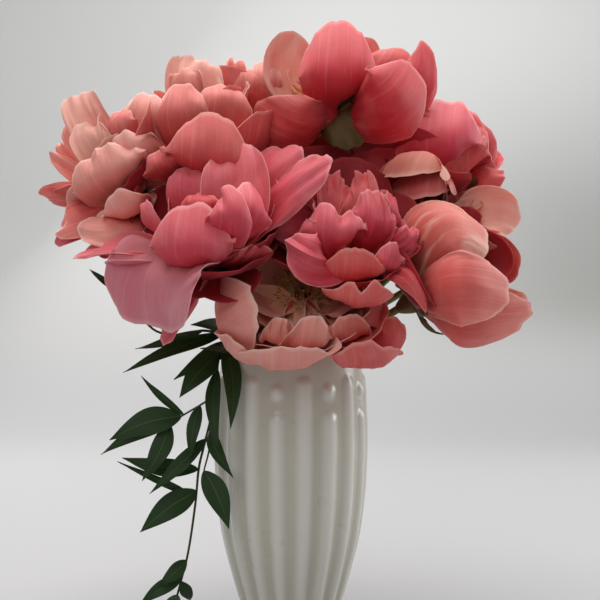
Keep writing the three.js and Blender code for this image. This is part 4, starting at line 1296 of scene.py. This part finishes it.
def addStem(name, matrix, mouthTurn):
    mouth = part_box("vase")[1].z
    length = stemShape["calyxLength"]
    foot = stemFoot(mouthTurn)
    atMouth = onRing(stemShape["mouthRing"], mouthTurn, mouth - stemShape["mouthDepth"])
    line = smoothLine([
        foot,
        foot.lerp(atMouth, 0.5),
        atMouth,
        onRing(stemShape["rimRing"], mouthTurn, mouth + stemShape["rimRise"]),
        matrix @ Vector((0, 0, -length - stemShape["neck"])),
        matrix @ Vector((0, 0, -length)),
    ], 9)

    def radiusAt(share):
        return stemShape["radius"] * (1 + stemShape["flare"] * smoothStep(share, 0.9, 1))

    finishPiece(addTube(name + "_green", line, radiusAt, stemShape["sides"]), "stem", "green_stem", name)


def addWhorls(name, flower, matrix, index):
    for ring in ("outer", "inner"):
        for k, shape in enumerate(flower[ring]):
            seed = index * 1.37 + k * 0.61 + (ring == "inner") * 5
            piece = addPetal(f"{name}_{ring}_petal_{k + 1}", matrix, shape, ring, seed)
            paint = "petal_" + (shape["paint"] or flower["paint"])
            finishPiece(piece, paint, flower["slot"], f"{name}_{ring}_petals")


# Small frilled petals round the stamens, joined in one piece.
frills = {"count": 5, "strays": 20, "lean": (8, 22), "length": (0.030, 0.042), "width": (0.022, 0.034),
          "bow": 30, "cup": 40, "ruffle": 0.003, "curl": (0, 50), "notch": (0, 0.2)}


def addFrills(name, flower, matrix, index, draw):
    pieces = []
    stray = frills["strays"]
    for k in range(flower.get("frills", frills["count"])):
        shape = petal(360 / frills["count"] * k + draw.uniform(-stray, stray), draw.uniform(*frills["lean"]),
                      draw.uniform(*frills["length"]), draw.uniform(*frills["width"]),
                      frills["bow"], frills["cup"], ruffle=frills["ruffle"],
                      curl=draw.uniform(*frills["curl"]), notch=draw.uniform(*frills["notch"]), grid="small")
        pieces.append(addPetal(name + "_frill", matrix, shape, "inner", index + k * 0.77))
    if pieces:
        joined = joinPieces(pieces, name + "_frills")
        finishPiece(joined, "petal_" + flower["paint"], flower["slot"], name + "_inner_petals")


def addFlowers():
    stamenMesh = modelStamen()
    for index, (name, flower) in enumerate(flowers.items()):
        draw = random.Random(index + 40)
        matrix = flowerPlace(name, flower["faces"])
        addWhorls(name, flower, matrix, index)
        addFrills(name, flower, matrix, index, draw)
        addCalyx(name + "_calyx", matrix, draw, flower.get("sepals", []))
        addTuft(name + "_stamens", matrix, stamenMesh, draw, flower.get("stamenLength", stamens["length"]),
                flower.get("stamenLean", 0))
        addCarpels(name + "_carpels", matrix, name + "_stamens")
        addStem(name + "_stem", matrix, flower["mouthTurn"])
        print("flower made:", name)
    bpy.data.meshes.remove(stamenMesh)


# Ruscus sprays. Branch routes are points in metres. A leaf starts a share of the way along a branch and
# ends at its tip: branch, share, tip, width.
sprays = {
    "trailing_spray": {
        "mouthTurn": 207,
        "branches": [
            [(-0.034, -0.017, 0.240), (-0.044, -0.022, 0.254), (-0.054, -0.028, 0.258),
             (-0.061, -0.033, 0.247), (-0.062, -0.035, 0.232), (-0.064, -0.035, 0.211),
             (-0.068, -0.035, 0.189), (-0.074, -0.033, 0.166), (-0.078, -0.032, 0.148),
             (-0.081, -0.031, 0.118), (-0.087, -0.030, 0.078), (-0.094, -0.030, 0.050),
             (-0.101, -0.030, 0.024)],
            [(-0.064, -0.035, 0.211), (-0.075, -0.035, 0.204), (-0.095, -0.034, 0.192),
             (-0.106, -0.034, 0.184)],
            [(-0.068, -0.035, 0.189), (-0.068, -0.042, 0.168), (-0.072, -0.048, 0.150)],
        ],
        "leaves": [
            (0, 0.17, (-0.098, -0.040, 0.225), 0.015), (0, 0.25, (-0.091, -0.060, 0.212), 0.020),
            (1, 0.62, (-0.128, -0.024, 0.227), 0.006), (1, 0.66, (-0.151, -0.045, 0.175), 0.023),
            (1, 0.90, (-0.123, -0.052, 0.142), 0.017), (1, 1.00, (-0.163, -0.020, 0.159), 0.011),
            (0, 0.58, (-0.144, -0.025, 0.157), 0.015), (1, 0.30, (-0.083, -0.050, 0.160), 0.011),
            (0, 0.49, (-0.116, -0.056, 0.132), 0.012), (0, 0.66, (-0.149, -0.020, 0.153), 0.006),
            (0, 0.64, (-0.125, -0.050, 0.099), 0.021), (2, 1.00, (-0.050, -0.064, 0.105), 0.019),
            (2, 0.15, (-0.046, -0.072, 0.148), 0.011), (0, 0.21, (-0.048, -0.076, 0.188), 0.015),
            (0, 0.29, (-0.058, -0.070, 0.172), 0.012), (0, 0.84, (-0.111, -0.042, 0.052), 0.012),
            (0, 0.89, (-0.127, -0.040, 0.036), 0.012), (0, 0.94, (-0.105, -0.048, 0.022), 0.012),
            (0, 0.90, (-0.087, -0.012, 0.032), 0.010), (0, 1.00, (-0.118, -0.024, 0.005), 0.011),
        ],
    },
    "short_spray": {
        "mouthTurn": 175,
        "branches": [
            [(-0.038, 0.003, 0.238), (-0.048, 0.002, 0.255), (-0.060, -0.008, 0.262),
             (-0.075, -0.030, 0.266), (-0.090, -0.042, 0.263), (-0.112, -0.046, 0.266),
             (-0.128, -0.045, 0.283), (-0.140, -0.041, 0.299)],
        ],
        "leaves": [
            (0, 0.30, (-0.072, -0.078, 0.253), 0.010), (0, 0.50, (-0.136, -0.066, 0.233), 0.012),
            (0, 0.62, (-0.133, -0.022, 0.250), 0.008), (0, 0.36, (-0.080, -0.074, 0.272), 0.017),
            (0, 1.00, (-0.169, -0.040, 0.318), 0.006), (0, 0.92, (-0.164, -0.032, 0.312), 0.007),
        ],
    },
}
leafShape = {
    "thickness": 0.0005,
    "across": 10,
    "along": 26,
    "early": 0.74,      # less puts its widest part nearer the base
    "slim": 1.05,       # more makes its ends slimmer
    "stalk": 0.0005,
    "arch": 0.003,
    "fold": 0.16,
    "wave": 0.0008,
    "sag": 0.06,
    "faces": (0, -1, 0.4),
}
branchShape = {
    "main": 0.0014,     # radius of the main stem, and of its side branches
    "side": 0.0010,
    "taper": 0.35,
    "sides": 8,
    "steps": 6,
    "bareFrom": 0.42,   # the main stem has no leaves up to here
}


def addLeaf(name, base, tip, width, seed, node):
    along = tip - base
    face = Vector(leafShape["faces"])
    face = (face - along * face.dot(along) / along.length_squared).normalized()
    across = face.cross(along).normalized()
    piece = addSheet(name, leafShape["across"], leafShape["along"])
    sag = across * leafShape["sag"] * along.length * math.sin(seed * 5)

    def place(u, v):
        bulge = max(math.sin(math.pi * v ** leafShape["early"]), 0) ** leafShape["slim"]
        half = width / 2 * bulge + leafShape["stalk"] * (1 - v)
        lift = leafShape["arch"] * math.sin(math.pi * v) + leafShape["fold"] * abs(u) * half
        lift += leafShape["wave"] * abs(u) * math.sin(v * 9 + seed * 3 + u)
        return base + along * v + across * u * half + face * lift + sag * math.sin(math.pi * v)

    bendSheet(piece, place)
    thicken(piece, leafShape["thickness"])
    finishPiece(piece, "leaf", "foliage", node)


def addSprays():
    for name, spray in sprays.items():
        lines = []
        for k, branch in enumerate(spray["branches"]):
            points = [Vector(point) for point in branch]
            if k == 0:
                points.insert(0, stemFoot(spray["mouthTurn"]))
            lines.append(smoothLine(points, branchShape["steps"]))
            radius = branchShape["main"] if k == 0 else branchShape["side"]
            tube = addTube(f"{name}_branch_{k + 1}", lines[-1],
                           lambda share: radius * (1 - branchShape["taper"] * share), branchShape["sides"])
            finishPiece(tube, "sprayStem", "foliage", name)
        bare = branchShape["bareFrom"]
        for k, (branch, share, tip, width) in enumerate(spray["leaves"]):
            if branch == 0:
                share = bare + (1 - bare) * share
            base = alongLine(lines[branch], share)
            addLeaf(f"{name}_leaf_{k + 1}", base, Vector(tip), width, k * 0.7, name)
        print("spray made:", name)


def addStudio():
    rows = studio["rows"]
    piece = addSheet("studio_sweep", 2, rows)
    corner, bend = studio["wallAt"], studio["sweep"]

    def place(u, v):
        x = u * studio["floorWidth"] / 2
        row = round(v * rows)
        if row == 0:
            return Vector((x, studio["frontEdge"], 0))
        if row == rows:
            return Vector((x, corner, studio["wallHeight"]))
        angle = math.pi / 2 * (row - 1) / (rows - 2)
        return Vector((x, corner - bend + bend * math.sin(angle), bend - bend * math.cos(angle)))

    bendSheet(piece, place)
    piece.data.materials.append(paints["floor"])
    bpy.ops.object.shade_smooth()


addCamera()
addLamps()
addStudio()
print("studio ready")
addVase()
print("vase thrown")
addFlowers()
addSprays()
